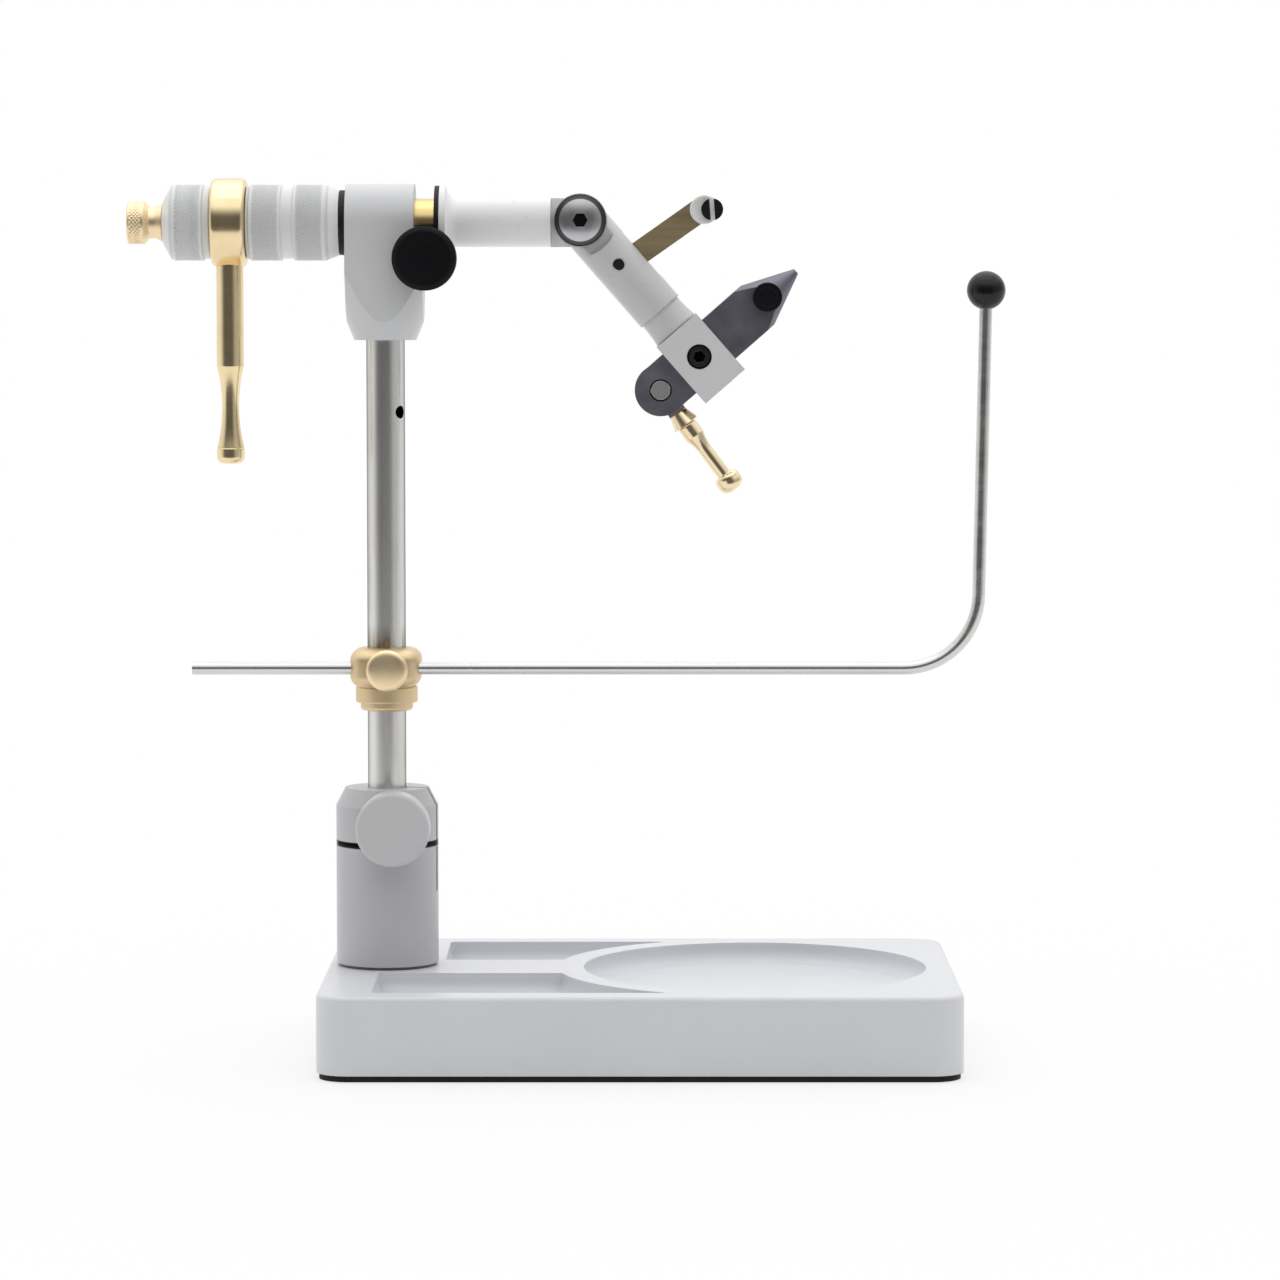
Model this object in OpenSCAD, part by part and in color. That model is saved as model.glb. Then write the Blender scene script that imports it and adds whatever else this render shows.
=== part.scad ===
/* [Base] */
// Width of the base plate, left to right
base_w = 155.4; // [140:0.2:190]
// Depth of the base plate, front to back
base_d = 103; // [96:0.5:130]
// Thickness of the base plate
base_h = 19; // [15:0.5:26]
// Radius of its upright corners
base_corner_r = 8; // [4:0.5:12]
// Rounding along its top edge
base_edge_r = 1.2; // [0.5:0.1:3]
// Thickness of the rubber foot pad
pad_t = 1.5; // [0.8:0.1:3]
// How far the foot pad stands back from the plate's edge
pad_inset = 0.7; // [0.3:0.1:2]

/* [Dish and pockets] */
// Radius of the round dish
dish_r = 42.5; // [36:0.5:45]
// Dish centre, right of the middle of the base
dish_x = 28.6; // [24:0.2:32]
// Depth of the dish and the pockets
tray_depth = 5; // [4.6:0.1:7]
// Cove round the floor of the dish
dish_cove_r = 4; // [1:0.2:4.5]
// Cove along the floors of the pockets
pocket_cove_r = 3; // [1:0.2:4]
// Radius of the upright corners in the pockets
pocket_corner_r = 1.6; // [0.8:0.1:3]
// Wall left between the dish and the pockets
dish_wall = 6.6; // [4:0.2:9]
// Land left between the two pockets
pocket_land = 22.8; // [18:0.2:28]
// Rim left in front of and behind the pockets
pocket_rim = 7.5; // [5:0.5:10]
// Left rim beside the front pocket
front_pocket_margin = 13.3; // [10:0.1:18]
// Left rim beside the rear pocket, past the column
rear_pocket_margin = 28.9; // [28.5:0.1:36]

/* [Clamp column] */
// Distance of the post from the left edge of the base
post_inset = 14.7; // [14:0.1:20]
// How far the post stands behind the middle of the base
plane_y = 5; // [0:0.5:8]
// Radius of the clamp column
column_r = 12.7; // [11:0.1:13.2]
// Height of the clamp column
column_h = 44.45; // [40:0.5:60]
// Height of the bevel round its top
column_bevel_h = 4.4; // [2:0.1:6]
// Width of the bevel round its top
column_bevel_w = 2.3; // [1:0.1:4]
// Depth of the bore that takes the post
column_bore_depth = 36.4; // [32:0.2:38]
// Height of the cross kerf's lower face above the foot
kerf_z = 30; // [26:0.2:31]
// Height of the cross kerf
kerf_h = 1.5; // [1:0.1:2.4]
// Depth of the upright slit, down from the top
slit_depth = 25.7; // [20:0.2:30]
// Width of the upright slit
slit_w = 1.2; // [0.8:0.1:2]
// How far the slit is turned to the front
slit_turn = 12; // [0:1:30]
// Radius of the clamp knob on the column
column_knob_r = 9.1; // [7:0.1:11]
// Thickness of that knob
column_knob_t = 8; // [5:0.5:12]
// Radius of its stud
column_stud_r = 2.4; // [1.8:0.1:3]
// Height of the knob's centre below the column's top
column_knob_drop = 8.6; // [7:0.1:9]
// How far the knob's axis lies right of the column's axis
column_knob_dx = 2.3; // [0:0.1:2.4]

/* [Post] */
// Radius of the post
post_r = 4.7625; // [4:0.0125:5.5]
// Height of the post's lower end above the bore's floor
post_lift = 8; // [7.5:0.1:12]
// Distance from the column's top to the bottom of the head
post_reach = 111.15; // [105:0.05:140]
// Radius of the accessory hole across the post
post_hole_r = 1.5875; // [1:0.0125:2]
// Height of that hole below the head
post_hole_drop = 17.8; // [10:0.1:30]
// How far the hole's axis is turned from the right towards the front
post_hole_turn = 36.9; // [0:0.1:90]

/* [Stop collar and cradle] */
// Gap between the column's top and the stop collar
collar_rise = 19.25; // [16:0.05:30]
// Radius of the stop collar
collar_r = 7.7; // [7:0.1:9]
// Height of the stop collar, without its lip
collar_h = 4; // [3.4:0.1:6]
// Radius of the lip under the collar
collar_lip_r = 6.5; // [5.6:0.1:7]
// Height of the lip
collar_lip_h = 2; // [1:0.1:3]
// Radius of the cradle clamp
cradle_r = 8.8; // [8.2:0.1:10]
// Height of the cradle clamp
cradle_h = 9.6; // [8:0.1:12]
// Radius of the cradle's thumbscrew head
cradle_knob_r = 5.1; // [4:0.1:6]
// Thickness of that head
cradle_knob_t = 3.6; // [2.5:0.1:6]
// Radius of the cradle rod
rod_r = 1.5875; // [1.2:0.0125:2]
// Straight part of the rod left of the post
rod_tail = 47.7; // [32:0.1:60]
// Straight part of the rod right of the post, up to its bend
rod_run = 128.3; // [124:0.1:150]
// Bend radius of the rod
rod_bend_r = 18.4; // [8:0.1:24]
// Angle of the rod's bend
rod_bend = 88.9; // [85:0.1:92]
// Length of the rod from the bend to the middle of the ball
rod_upright = 75.2; // [50:0.1:90]
// Radius of the ball on the rod
ball_r = 4.7625; // [4:0.0125:7]

/* [Head] */
// Side of the square head block
head_w = 19.05; // [18:0.05:21]
// Height from the bottom of the head to the rotary axis
head_rise = 28.9; // [28:0.1:34]
// Radius of the spindle
spindle_r = 4; // [3.5:0.1:4.3]
// Outer radius of the bushes
bush_r = 5.9; // [5.5:0.1:6.4]
// How far the front bush stands out of the head
bush_stand = 4.85; // [4.5:0.05:6]
// Cut on the head's right side that bares the front bush
head_notch = 2.1; // [1:0.1:3]
// Radius of the lock knob
lock_knob_r = 7.86; // [6:0.02:9]
// Thickness of the lock knob
lock_knob_t = 7.5; // [5:0.5:10]
// Radius of the lock knob's stud
lock_stud_r = 1.4; // [1:0.1:1.5]

/* [Rotary parts] */
// Radius of the knurled sleeves
sleeve_r = 9.4; // [8.5:0.1:10.4]
// Length of the grip sleeve beside the head
grip_len = 22.85; // [18:0.05:30]
// Length of the tail sleeve
tail_len = 11.9; // [9:0.05:16]
// Radius of the crank ring
ring_r = 10.9; // [10.5:0.1:13]
// Width of the crank ring
ring_w = 8.6; // [8:0.1:12]
// Radius of the crank handle
crank_r = 3.35; // [2.6:0.05:3.8]
// Distance from the rotary axis to the end of the crank handle
crank_reach = 59.5; // [50:0.1:62]
// Radius of the tension nut's knurled head
nut_r = 5.3; // [4.6:0.1:7]
// Length of the tension nut
nut_len = 8.6; // [7.4:0.1:12]
// Radius of the thrust washer
thrust_washer_r = 9.1; // [7.5:0.1:9.4]
// Radius of the rotor arm
rotor_arm_r = 6; // [5.2:0.1:6.5]
// Distance from the post to the jaw arm's pivot
pivot_reach = 48.3; // [46:0.1:60]
// Height of the pivot above the rotary axis
pivot_rise = 0.5; // [0:0.1:1]
// Radius of the pivot screw's head
pivot_head_r = 6.1; // [5:0.1:7]

/* [Jaw arm] */
// Angle of the jaw arm below the horizontal
arm_angle = 48.8; // [30:0.1:60]
// Radius of the jaw arm
arm_r = 6.1; // [5.6:0.1:6.3]
// Distance from the pivot to the jaws' axis
jaw_reach = 44.5; // [43:0.1:55]
// Side of the square jaw block
block_w = 12.8; // [12.4:0.1:15]
// Length of the jaw block on the pivot's side of the jaws' axis
block_near = 8.6; // [8.2:0.1:11]
// Length of the jaw block on the far side of the jaws' axis
block_far = 9.7; // [8.2:0.1:12]
// Width of each jaw
jaw_w = 12.6; // [11.4:0.1:12.8]
// Thickness of each jaw
jaw_t = 3.6; // [3.2:0.1:3.7]
// Distance from the cam pin to the tip of the jaws
jaw_len = 44.5; // [42:0.1:55]
// Distance from the cam pin back to the jaw arm's middle
pin_back = 12.65; // [12.4:0.05:16]
// Radius of the cam pin
cam_pin_r = 2.35; // [1.8:0.05:2.5]
// Distance from the cam pin to the jaw knob
jaw_knob_reach = 34.9; // [33:0.1:36]
// Radius of the jaw knob
jaw_knob_r = 3.6; // [2.5:0.1:4.2]
// Angle of the cam lever below the horizontal
lever_angle = 53; // [45:0.5:56]
// Distance from the cam pin to the end of the lever
lever_len = 30.8; // [28:0.1:36]

/* [Hook gauge] */
// Distance from the pivot to the gauge's pin
gauge_pin_reach = 14.4; // [13.8:0.1:18]
// Width of the gauge bar
gauge_w = 5.9; // [4:0.1:6]
// Thickness of the gauge bar
gauge_t = 2.4; // [1.6:0.1:3]
// Length of the gauge bar past its pin
gauge_len = 24; // [18:0.1:28]
// Angle of the gauge bar above the horizontal
gauge_angle = 35.1; // [25:0.1:45]
// Radius of the gauge's button
gauge_button_r = 3.6; // [2.8:0.1:4.5]
// Radius of the gauge screw's head
gauge_screw_r = 2.7; // [1.8:0.1:2.8]

/* [Fits] */
// Running gap round a shaft or a pin
run_gap = 0.05; // [0.02:0.01:0.1]
// Gap between pieces that pass each other
clear_gap = 0.3; // [0.2:0.05:0.4]
// Gap between end faces that run on each other
face_gap = 0.1; // [0.05:0.01:0.15]

/* [Hidden] */
$fn = 96;

// Colours of the finishes
coat = [0.80, 0.81, 0.82];
steel = [0.66, 0.66, 0.65];
black = [0.07, 0.07, 0.08];
gold = [0.83, 0.68, 0.40];
slate = [0.24, 0.24, 0.28];
silver = [0.72, 0.73, 0.73];

// How far every cut runs past what it cuts
overrun = 1;
// Share of a screw head's radius that its hexagon socket takes
socket_share = 0.52;

// Places of the main axes
base_top = pad_t + base_h;
post_x = -base_w / 2 + post_inset;
column_top = base_top + column_h;
head_bottom = column_top + post_reach;
axis_z = head_bottom + head_rise;
pivot_x = post_x + pivot_reach;
pivot_z = axis_z + pivot_rise;

// Base details
tray_floor = base_top - tray_depth;
pocket_arc_r = dish_r + dish_wall;
arc_cove_step = 0.4;
arc_cove_r = pocket_cove_r + arc_cove_step;
bolt_r = 3;
bolt_head_r = 5;
bolt_head_h = 6;
bolt_recess = 7;
bolt_reach = 6.5;

// Column details
foot_gap_h = 0.7;
foot_gap_w = 0.6;
knob_edge_r = 1;
knob_back_gap = 0.4;
column_knob_z = column_top - column_knob_drop;
column_front_y = plane_y - column_r;
post_front_y = plane_y - post_r;
stud_seat = 5;

// Post details
post_bottom = column_top - column_bore_depth + post_lift;
post_socket = 16.9;
post_end_gap = 0.5;
post_top = head_bottom + post_socket - post_end_gap;
post_chamfer = 0.6;

// Collar and cradle details
collar_bottom = column_top + collar_rise;
collar_top = collar_bottom + collar_lip_h + collar_h;
cradle_bottom = collar_top + face_gap;
cradle_mid = cradle_bottom + cradle_h / 2;
cradle_offset = 2.5;
cradle_axis_y = plane_y - cradle_offset;
cradle_edge_r = 3.6;
collar_edge_r = 0.4;
collar_lip_edge_r = 0.9;
collar_screw_r = 1.2;
collar_screw_len = 2.4;
rod_y = plane_y - post_r - rod_r - clear_gap;
cradle_boss_r = 4.5;
cradle_boss_len = 0.7;
cradle_boss_y = cradle_axis_y - cradle_r - cradle_boss_len;
cradle_knob_dx = 0.8;
cradle_window_w = 5;
cradle_window_h = 2.2;
cradle_stud_r = 1.9;
knob_recess_r = 4.5;
knob_recess = 0.6;

// Head details
head_cone_turn = 18;
head_neck_r = 9.45;
head_chamfer_h = 4.2;
head_chamfer_w = 1.75;
head_corner_r = 14;
head_left = post_x - head_w / 2;
head_right = post_x + head_w / 2;
notch_x = head_right - head_notch;
bush_end = notch_x + bush_stand;
bush_seam = post_x;
ear_bottom = 14.5;
ear_top = 4;
ear_slit = 1.2;
lock_out = 2.85;
lock_drop = 8.9;
lock_wall = 2.2;
lock_x = notch_x + lock_out;
lock_z = axis_z - lock_drop;
head_screw_r = 2;
head_screw_rise = 7.5;
head_screw_len = 4.4;

// Rotary details
drag_washer_t = 1.4;
drag_washer_r = 8;
drag_x = head_left - face_gap - drag_washer_t;
grip_x = drag_x - face_gap - grip_len;
ring_gap = 0.15;
ring_x = grip_x - ring_gap - ring_w;
tail_x = ring_x - ring_gap - tail_len;
nut_x = tail_x - face_gap - nut_len;
groove_depth = 0.5;
ring_edge_r = 1.2;
spindle_tail_r = 2.4;
spindle_tail_end = 1;
spindle_seat = 12;
thrust_washer_t = 1.05;
thrust_x = bush_end + face_gap;
hub_x = thrust_x + thrust_washer_t + face_gap;
hub_t = 1.6;
hub_fillet_r = 3;
knuckle_len = 7.3;
crank_seat = 3.9;
crank_straight = 35.4;
crank_waist_end = 55.5;
crank_waist_r = 2.1;
crank_end_r = 3.45;
crank_end_edge_r = 1.7;
crank_screw_r = 1.5;
crank_screw_len = 3;
nut_head_len = 4.1;
nut_neck_r = 3.85;
nut_flare_r = 4.75;
pivot_shank_r = 2.5;
pivot_head_h = 3.1;
pivot_dome_h = 1.5;
pivot_socket_r = 1.9;
pivot_washer_t = 0.5;
pivot_washer_r = 6.35;
washer_hole_gap = 0.2;

// Jaw arm details, in the arm's own frame: x along the arm, z along the jaws
tang_r = 6.6;
lap_gap = 0.1;
rear_start = 7.2;
spot_r = 8.7;
spot_y = 4.7;
arm_neck_r = 5.6;
arm_flare_len = 6;
arm_spigot_r = 1.6;
arm_spigot_len = 1.6;
block_start = jaw_reach - block_near;
block_len = block_near + block_far;
jaw_gap = 0.3;
jaw_half = jaw_t + jaw_gap / 2;
slot_half_y = jaw_half + clear_gap;
slot_half_x = jaw_w / 2 + clear_gap;
jaw_shoulder = 32;
jaw_tip_r = 0.8;
jaw_end_r = 6.4;
barrel_r = 4.9;
barrel_w = 3.2;
cam_room = 0.6;
ear_relief = 0.7;
cam_hole_r = cam_pin_r + clear_gap;
jaw_screw_r = 1.5;
jaw_screw_head_r = 3;
jaw_screw_head_h = 1.7;
jaw_screw_room = 0.4;
jaw_screw_wall = 1;
jaw_stud_r = 1.5;
jaw_knob_h = 4.2;
jaw_knob_edge_r = 0.2;

// Lever details, along the lever from the cam pin
hub_start = 7;
hub_end = 10.6;
lever_neck_r = 2.3;
lever_hub_r = 3.4;
lever_spigot_r = 1.45;
lever_shoulder_r = 2.5;
lever_shoulder_end = 14.2;
lever_taper_end = 18.5;
lever_stem_r = 1.7;
lever_knob_r = 3.2;
lever_knob_len = 4.6;
lever_knob_near_r = 1.3;
lever_knob_far_r = 2.2;
lever_turn = lever_angle - arm_angle;

// Gauge details, in the bar's own frame: z along the bar from its pin
gauge_pin_r = 1.4;
gauge_pin_sink = 0.4;
gauge_slot_back = 3.2;
gauge_slot_left = 5.6;
gauge_slot_right = 8.4;
gauge_offset = 0.57;
gauge_button_z = 25.05;
gauge_button_dx = 1.05;
gauge_button_t = 1.5;
gauge_screw_z = 26.6;
gauge_screw_dx = 2.15;
gauge_eye_r = 1.9;
gauge_screw_shank_r = 1.2;
gauge_screw_head_h = 1.4;
screw_slot_w = 1.1;
screw_slot_lean = 4;
screw_slot_depth = 0.7;
gauge_turn = 90 - arm_angle - gauge_angle;

// Two-dimensional profiles

// A corner taken off to a quarter round
module corner_cut(edge_r) {
    difference() {
        square([edge_r + overrun, edge_r + overrun]);
        circle(r = edge_r);
    }
}

// Half outline of a turned bar, x its radius and y its length
module turned(r, len, near_r = 0, far_r = 0) {
    difference() {
        square([r, len]);
        if (near_r > 0) {
            translate([r - near_r, near_r]) mirror([0, 1]) corner_cut(near_r);
        }
        if (far_r > 0) {
            translate([r - far_r, len - far_r]) corner_cut(far_r);
        }
    }
}

// Placement

// A point on the post's axis
module at_post(z) {
    translate([post_x, plane_y, z]) children();
}

// A turned piece on the rotary axis, its z running to the right
module on_axis(x) {
    translate([x, plane_y, axis_z]) rotate([0, 90, 0]) children();
}

// A turned piece whose z runs to the back
module to_back(x, y, z) {
    translate([x, y, z]) rotate([-90, 0, 0]) children();
}

// A turned piece whose z runs to the front
module to_front(x, y, z) {
    translate([x, y, z]) rotate([90, 0, 0]) children();
}

// The jaw arm's frame
module in_arm() {
    translate([pivot_x, plane_y, pivot_z]) rotate([0, arm_angle, 0]) children();
}

// The jaws' frame, from the cam pin towards the tip
module in_jaw() {
    in_arm() translate([jaw_reach, 0, -pin_back]) children();
}

// The gauge bar's frame, from its pin outwards
module in_gauge() {
    in_arm() translate([gauge_pin_reach, 0, 0]) rotate([0, gauge_turn, 0]) children();
}

// The lever's frame, its z running outwards from the cam pin
module in_lever() {
    in_jaw() rotate([0, 90 + lever_turn, 0]) children();
}

// Shared shapes

// A slab with upright round corners and a rounded top edge
module soft_slab(w, d, h, corner_r, edge_r) {
    for (q = [0:3]) {
        sx = (q == 0 || q == 3) ? 1 : -1;
        sy = q < 2 ? 1 : -1;
        translate([sx * (w / 2 - corner_r), sy * (d / 2 - corner_r), 0])
            rotate([0, 0, 90 * q])
                rotate_extrude(angle = 90) turned(corner_r, h, far_r = edge_r);
    }
    translate([-(w / 2 - corner_r), 0, 0]) rotate([90, 0, 90])
        linear_extrude(w - 2 * corner_r) slab_section(d, h, edge_r);
    translate([0, d / 2 - corner_r, 0]) rotate([90, 0, 0])
        linear_extrude(d - 2 * corner_r) slab_section(w, h, edge_r);
}

// Cross-section of the slab
module slab_section(w, h, edge_r) {
    turned(w / 2, h, far_r = edge_r);
    mirror([1, 0]) turned(w / 2, h, far_r = edge_r);
}

// A rectangle with round corners, by its two corners
module round_rect(x0, y0, x1, y1, r) {
    translate([x0 + r, y0]) square([x1 - x0 - 2 * r, y1 - y0]);
    translate([x0, y0 + r]) square([x1 - x0, y1 - y0 - 2 * r]);
    for (x = [x0 + r, x1 - r], y = [y0 + r, y1 - r]) translate([x, y]) circle(r = r);
}

// A straight cove at the foot of a wall that faces +y, running along x
module cove(len, r) {
    rotate([90, 0, 90]) linear_extrude(len) difference() {
        square([r, r]);
        translate([r, r]) circle(r = r);
    }
}

// A hexagon socket screw, its head at z 0 and its shank running up
module socket_screw(head_r, head_h, shank_r, shank_len) {
    difference() {
        union() {
            cylinder(r = head_r, h = head_h);
            cylinder(r = shank_r, h = head_h + shank_len);
        }
        translate([0, 0, -overrun])
            cylinder(r = head_r * socket_share, h = overrun + head_h * socket_share, $fn = 6);
    }
}

// A grub screw with a hexagon socket at z 0
module grub_screw(r, len) {
    difference() {
        cylinder(r = r, h = len);
        translate([0, 0, -overrun])
            cylinder(r = r * socket_share, h = overrun + len * socket_share, $fn = 6);
    }
}

// Base

// What is taken out of the base for one pocket; side is -1 in front and 1 behind
module pocket_cut(side, left_margin) {
    x0 = -base_w / 2 + left_margin;
    inner = pocket_land / 2;
    outer = base_d / 2 - pocket_rim;
    x1 = dish_x - sqrt(pow(pocket_arc_r, 2) - pow(outer, 2));
    mirror([0, side < 0 ? 1 : 0, 0]) difference() {
        translate([0, 0, tray_floor]) linear_extrude(tray_depth + overrun) difference() {
            round_rect(x0, inner, x1, outer, pocket_corner_r);
            translate([dish_x, 0]) circle(r = pocket_arc_r);
        }
        translate([x0, inner, tray_floor]) cove(x1 - x0, pocket_cove_r);
        translate([x0, outer, tray_floor]) mirror([0, 1, 0]) cove(x1 - x0, pocket_cove_r);
        translate([x0, outer, tray_floor]) rotate([0, 0, -90]) cove(outer - inner, pocket_cove_r);
        translate([dish_x, 0, tray_floor]) rotate_extrude() translate([pocket_arc_r, 0]) difference() {
            square([arc_cove_r, arc_cove_r]);
            translate([arc_cove_r, arc_cove_r]) circle(r = arc_cove_r);
        }
    }
}

module base_plate() color(coat) {
    difference() {
        translate([0, 0, pad_t]) soft_slab(base_w, base_d, base_h, base_corner_r, base_edge_r);
        translate([dish_x, 0, tray_floor])
            rotate_extrude() turned(dish_r, tray_depth + overrun, near_r = dish_cove_r);
        pocket_cut(-1, front_pocket_margin);
        pocket_cut(1, rear_pocket_margin);
        at_post(pad_t - overrun) cylinder(r = bolt_r + clear_gap, h = base_h + 2 * overrun);
        at_post(pad_t - overrun) cylinder(r = bolt_head_r + clear_gap, h = bolt_recess + overrun);
    }
}

module foot_pad() color(black) {
    half_w = base_w / 2 - pad_inset;
    half_d = base_d / 2 - pad_inset;
    linear_extrude(pad_t) round_rect(-half_w, -half_d, half_w, half_d, base_corner_r - pad_inset);
}

module column_bolt() color(steel) {
    shank = base_h - bolt_recess + bolt_reach;
    at_post(pad_t + bolt_recess - bolt_head_h) socket_screw(bolt_head_r, bolt_head_h, bolt_r, shank);
}

// Clamp column

module clamp_column() color(coat) {
    reach = column_r + overrun;
    at_post(base_top) difference() {
        rotate_extrude() polygon([
            [0, 0], [column_r - foot_gap_w, 0], [column_r - foot_gap_w, foot_gap_h],
            [column_r, foot_gap_h], [column_r, column_h - column_bevel_h],
            [column_r - column_bevel_w, column_h], [0, column_h]
        ]);
        translate([0, 0, column_h - column_bore_depth])
            cylinder(r = post_r + run_gap, h = column_bore_depth + overrun);
        translate([0, 0, -overrun]) cylinder(r = bolt_r + run_gap, h = overrun + bolt_reach + clear_gap);
        translate([-reach, -reach, kerf_z]) cube([2 * reach, reach, kerf_h]);
        rotate([0, 0, -slit_turn]) translate([0, -slit_w / 2, column_h - slit_depth])
            cube([reach, slit_w, slit_depth + overrun]);
        to_front(column_knob_dx, 0, column_h - column_knob_drop)
            cylinder(r = column_stud_r + run_gap, h = reach);
    }
}

module column_knob() color(coat) {
    back_y = column_front_y - knob_back_gap;
    to_front(post_x + column_knob_dx, back_y, column_knob_z) difference() {
        rotate_extrude()
            turned(column_knob_r, column_knob_t, near_r = knob_edge_r / 2, far_r = knob_edge_r);
        translate([0, 0, -overrun]) cylinder(r = column_stud_r + run_gap, h = stud_seat + overrun);
    }
}

module column_stud() color(steel) {
    front_y = column_front_y - knob_back_gap - stud_seat + face_gap;
    len = post_front_y - clear_gap - front_y;
    to_back(post_x + column_knob_dx, front_y, column_knob_z) cylinder(r = column_stud_r, h = len);
}

// Post

module post() color(steel) {
    difference() {
        at_post(post_bottom) rotate_extrude() polygon([
            [0, 0], [post_r - post_chamfer, 0], [post_r, post_chamfer],
            [post_r, post_top - post_bottom - post_chamfer],
            [post_r - post_chamfer, post_top - post_bottom], [0, post_top - post_bottom]
        ]);
        at_post(head_bottom - post_hole_drop) rotate([0, 0, -post_hole_turn]) rotate([0, 90, 0])
            translate([0, 0, -post_r - overrun]) cylinder(r = post_hole_r, h = 2 * (post_r + overrun));
    }
}

// Stop collar and cradle

module stop_collar() color(gold) {
    screw_z = collar_lip_h + collar_h / 2;
    at_post(collar_bottom) difference() {
        union() {
            translate([0, 0, collar_lip_h])
                rotate_extrude() turned(collar_r, collar_h, near_r = collar_edge_r, far_r = collar_edge_r);
            rotate_extrude() turned(collar_lip_r, collar_lip_h, near_r = collar_lip_edge_r);
        }
        translate([0, 0, -overrun])
            cylinder(r = post_r + run_gap, h = collar_lip_h + collar_h + 2 * overrun);
        to_back(0, 0, screw_z) cylinder(r = collar_screw_r + run_gap, h = collar_r + overrun);
    }
}

module collar_screw() color(black) {
    outer_y = plane_y + post_r + clear_gap + collar_screw_len;
    to_front(post_x, outer_y, collar_bottom + collar_lip_h + collar_h / 2)
        grub_screw(collar_screw_r, collar_screw_len);
}

module cradle_body() color(gold) {
    difference() {
        union() {
            translate([post_x, cradle_axis_y, cradle_bottom])
                rotate_extrude() turned(cradle_r, cradle_h, near_r = cradle_edge_r, far_r = cradle_edge_r);
            to_front(post_x + cradle_knob_dx, rod_y, cradle_mid)
                cylinder(r = cradle_boss_r, h = rod_y - cradle_boss_y);
        }
        at_post(cradle_bottom - overrun) cylinder(r = post_r + run_gap, h = cradle_h + 2 * overrun);
        translate([post_x - cradle_r - overrun, rod_y, cradle_mid]) rotate([0, 90, 0])
            cylinder(r = rod_r + run_gap, h = 2 * (cradle_r + overrun));
        translate([post_x - cradle_window_w / 2, rod_y, cradle_mid - cradle_window_h / 2])
            cube([cradle_window_w, plane_y - rod_y, cradle_window_h]);
        to_front(post_x + cradle_knob_dx, rod_y, cradle_mid)
            cylinder(r = cradle_stud_r + run_gap, h = rod_y - cradle_boss_y + overrun);
    }
}

module cradle_knob() color(gold) {
    tip_y = rod_y - rod_r - clear_gap;
    head_y = cradle_boss_y - clear_gap;
    dish_sphere_r = (pow(knob_recess_r, 2) + pow(knob_recess, 2)) / (2 * knob_recess);
    difference() {
        union() {
            to_front(post_x + cradle_knob_dx, tip_y, cradle_mid)
                cylinder(r = cradle_stud_r, h = tip_y - head_y + overrun);
            to_front(post_x + cradle_knob_dx, head_y, cradle_mid)
                rotate_extrude()
                    turned(cradle_knob_r, cradle_knob_t, near_r = collar_edge_r, far_r = collar_edge_r);
        }
        to_front(post_x + cradle_knob_dx, head_y - cradle_knob_t - dish_sphere_r + knob_recess, cradle_mid)
            sphere(r = dish_sphere_r, $fn = 240);
    }
}

module cradle_rod() color(steel) {
    straight = rod_tail + rod_run;
    rod_frame() {
        translate([-straight, 0, -rod_bend_r]) rotate([0, 90, 0]) cylinder(r = rod_r, h = straight);
        rotate([90, 0, 0]) rotate([0, 0, -90])
            rotate_extrude(angle = rod_bend) translate([rod_bend_r, 0]) circle(r = rod_r);
        rod_end() cylinder(r = rod_r, h = rod_upright);
    }
}

// The frame at the middle of the rod's bend
module rod_frame() {
    translate([post_x + rod_run, rod_y, cradle_mid + rod_bend_r]) children();
}

// The frame at the end of the bend, z running up the rod
module rod_end() {
    translate([rod_bend_r * sin(rod_bend), 0, -rod_bend_r * cos(rod_bend)])
        rotate([0, 90 - rod_bend, 0]) children();
}

module rod_ball() color(black) {
    rod_frame() rod_end() difference() {
        translate([0, 0, rod_upright]) sphere(r = ball_r);
        translate([0, 0, rod_upright - ball_r - overrun])
            cylinder(r = rod_r + run_gap, h = ball_r + overrun + face_gap);
    }
}

// Head

module head_block() color(coat) {
    half = head_w / 2;
    flare = tan(head_cone_turn);
    cone_h = (head_corner_r - head_neck_r) / flare;
    difference() {
        union() {
            intersection() {
                translate([head_left, plane_y, 0]) rotate([90, 0, 90]) linear_extrude(head_w) {
                    translate([-half, head_bottom]) square([head_w, head_rise]);
                    translate([0, axis_z]) circle(r = half);
                }
                at_post(head_bottom) rotate_extrude() polygon([
                    [0, 0], [head_neck_r - head_chamfer_w, 0], [head_neck_r, head_chamfer_h],
                    [head_corner_r, head_chamfer_h + cone_h], [head_corner_r, head_rise + head_w],
                    [0, head_rise + head_w]
                ]);
            }
            translate([notch_x - overrun, plane_y - half, axis_z - ear_bottom])
                cube([bush_end - notch_x + overrun, head_w, ear_bottom - ear_top]);
        }
        at_post(head_bottom - overrun) cylinder(r = post_r + run_gap, h = post_socket + overrun);
        on_axis(head_left - overrun) cylinder(r = bush_r + run_gap, h = head_w + bush_stand + 2 * overrun);
        translate([notch_x, plane_y - half - overrun, axis_z - ear_top])
            cube([head_w, head_w + 2 * overrun, head_w]);
        translate([notch_x, plane_y - ear_slit / 2, axis_z - ear_bottom - overrun])
            cube([head_w, ear_slit, ear_bottom + overrun]);
        to_back(lock_x, plane_y - half - overrun, lock_z)
            cylinder(r = lock_stud_r + run_gap, h = head_w + overrun - lock_wall);
        to_back(post_x, plane_y, head_bottom + head_screw_rise)
            cylinder(r = head_screw_r + run_gap, h = half + overrun);
    }
}

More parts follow.
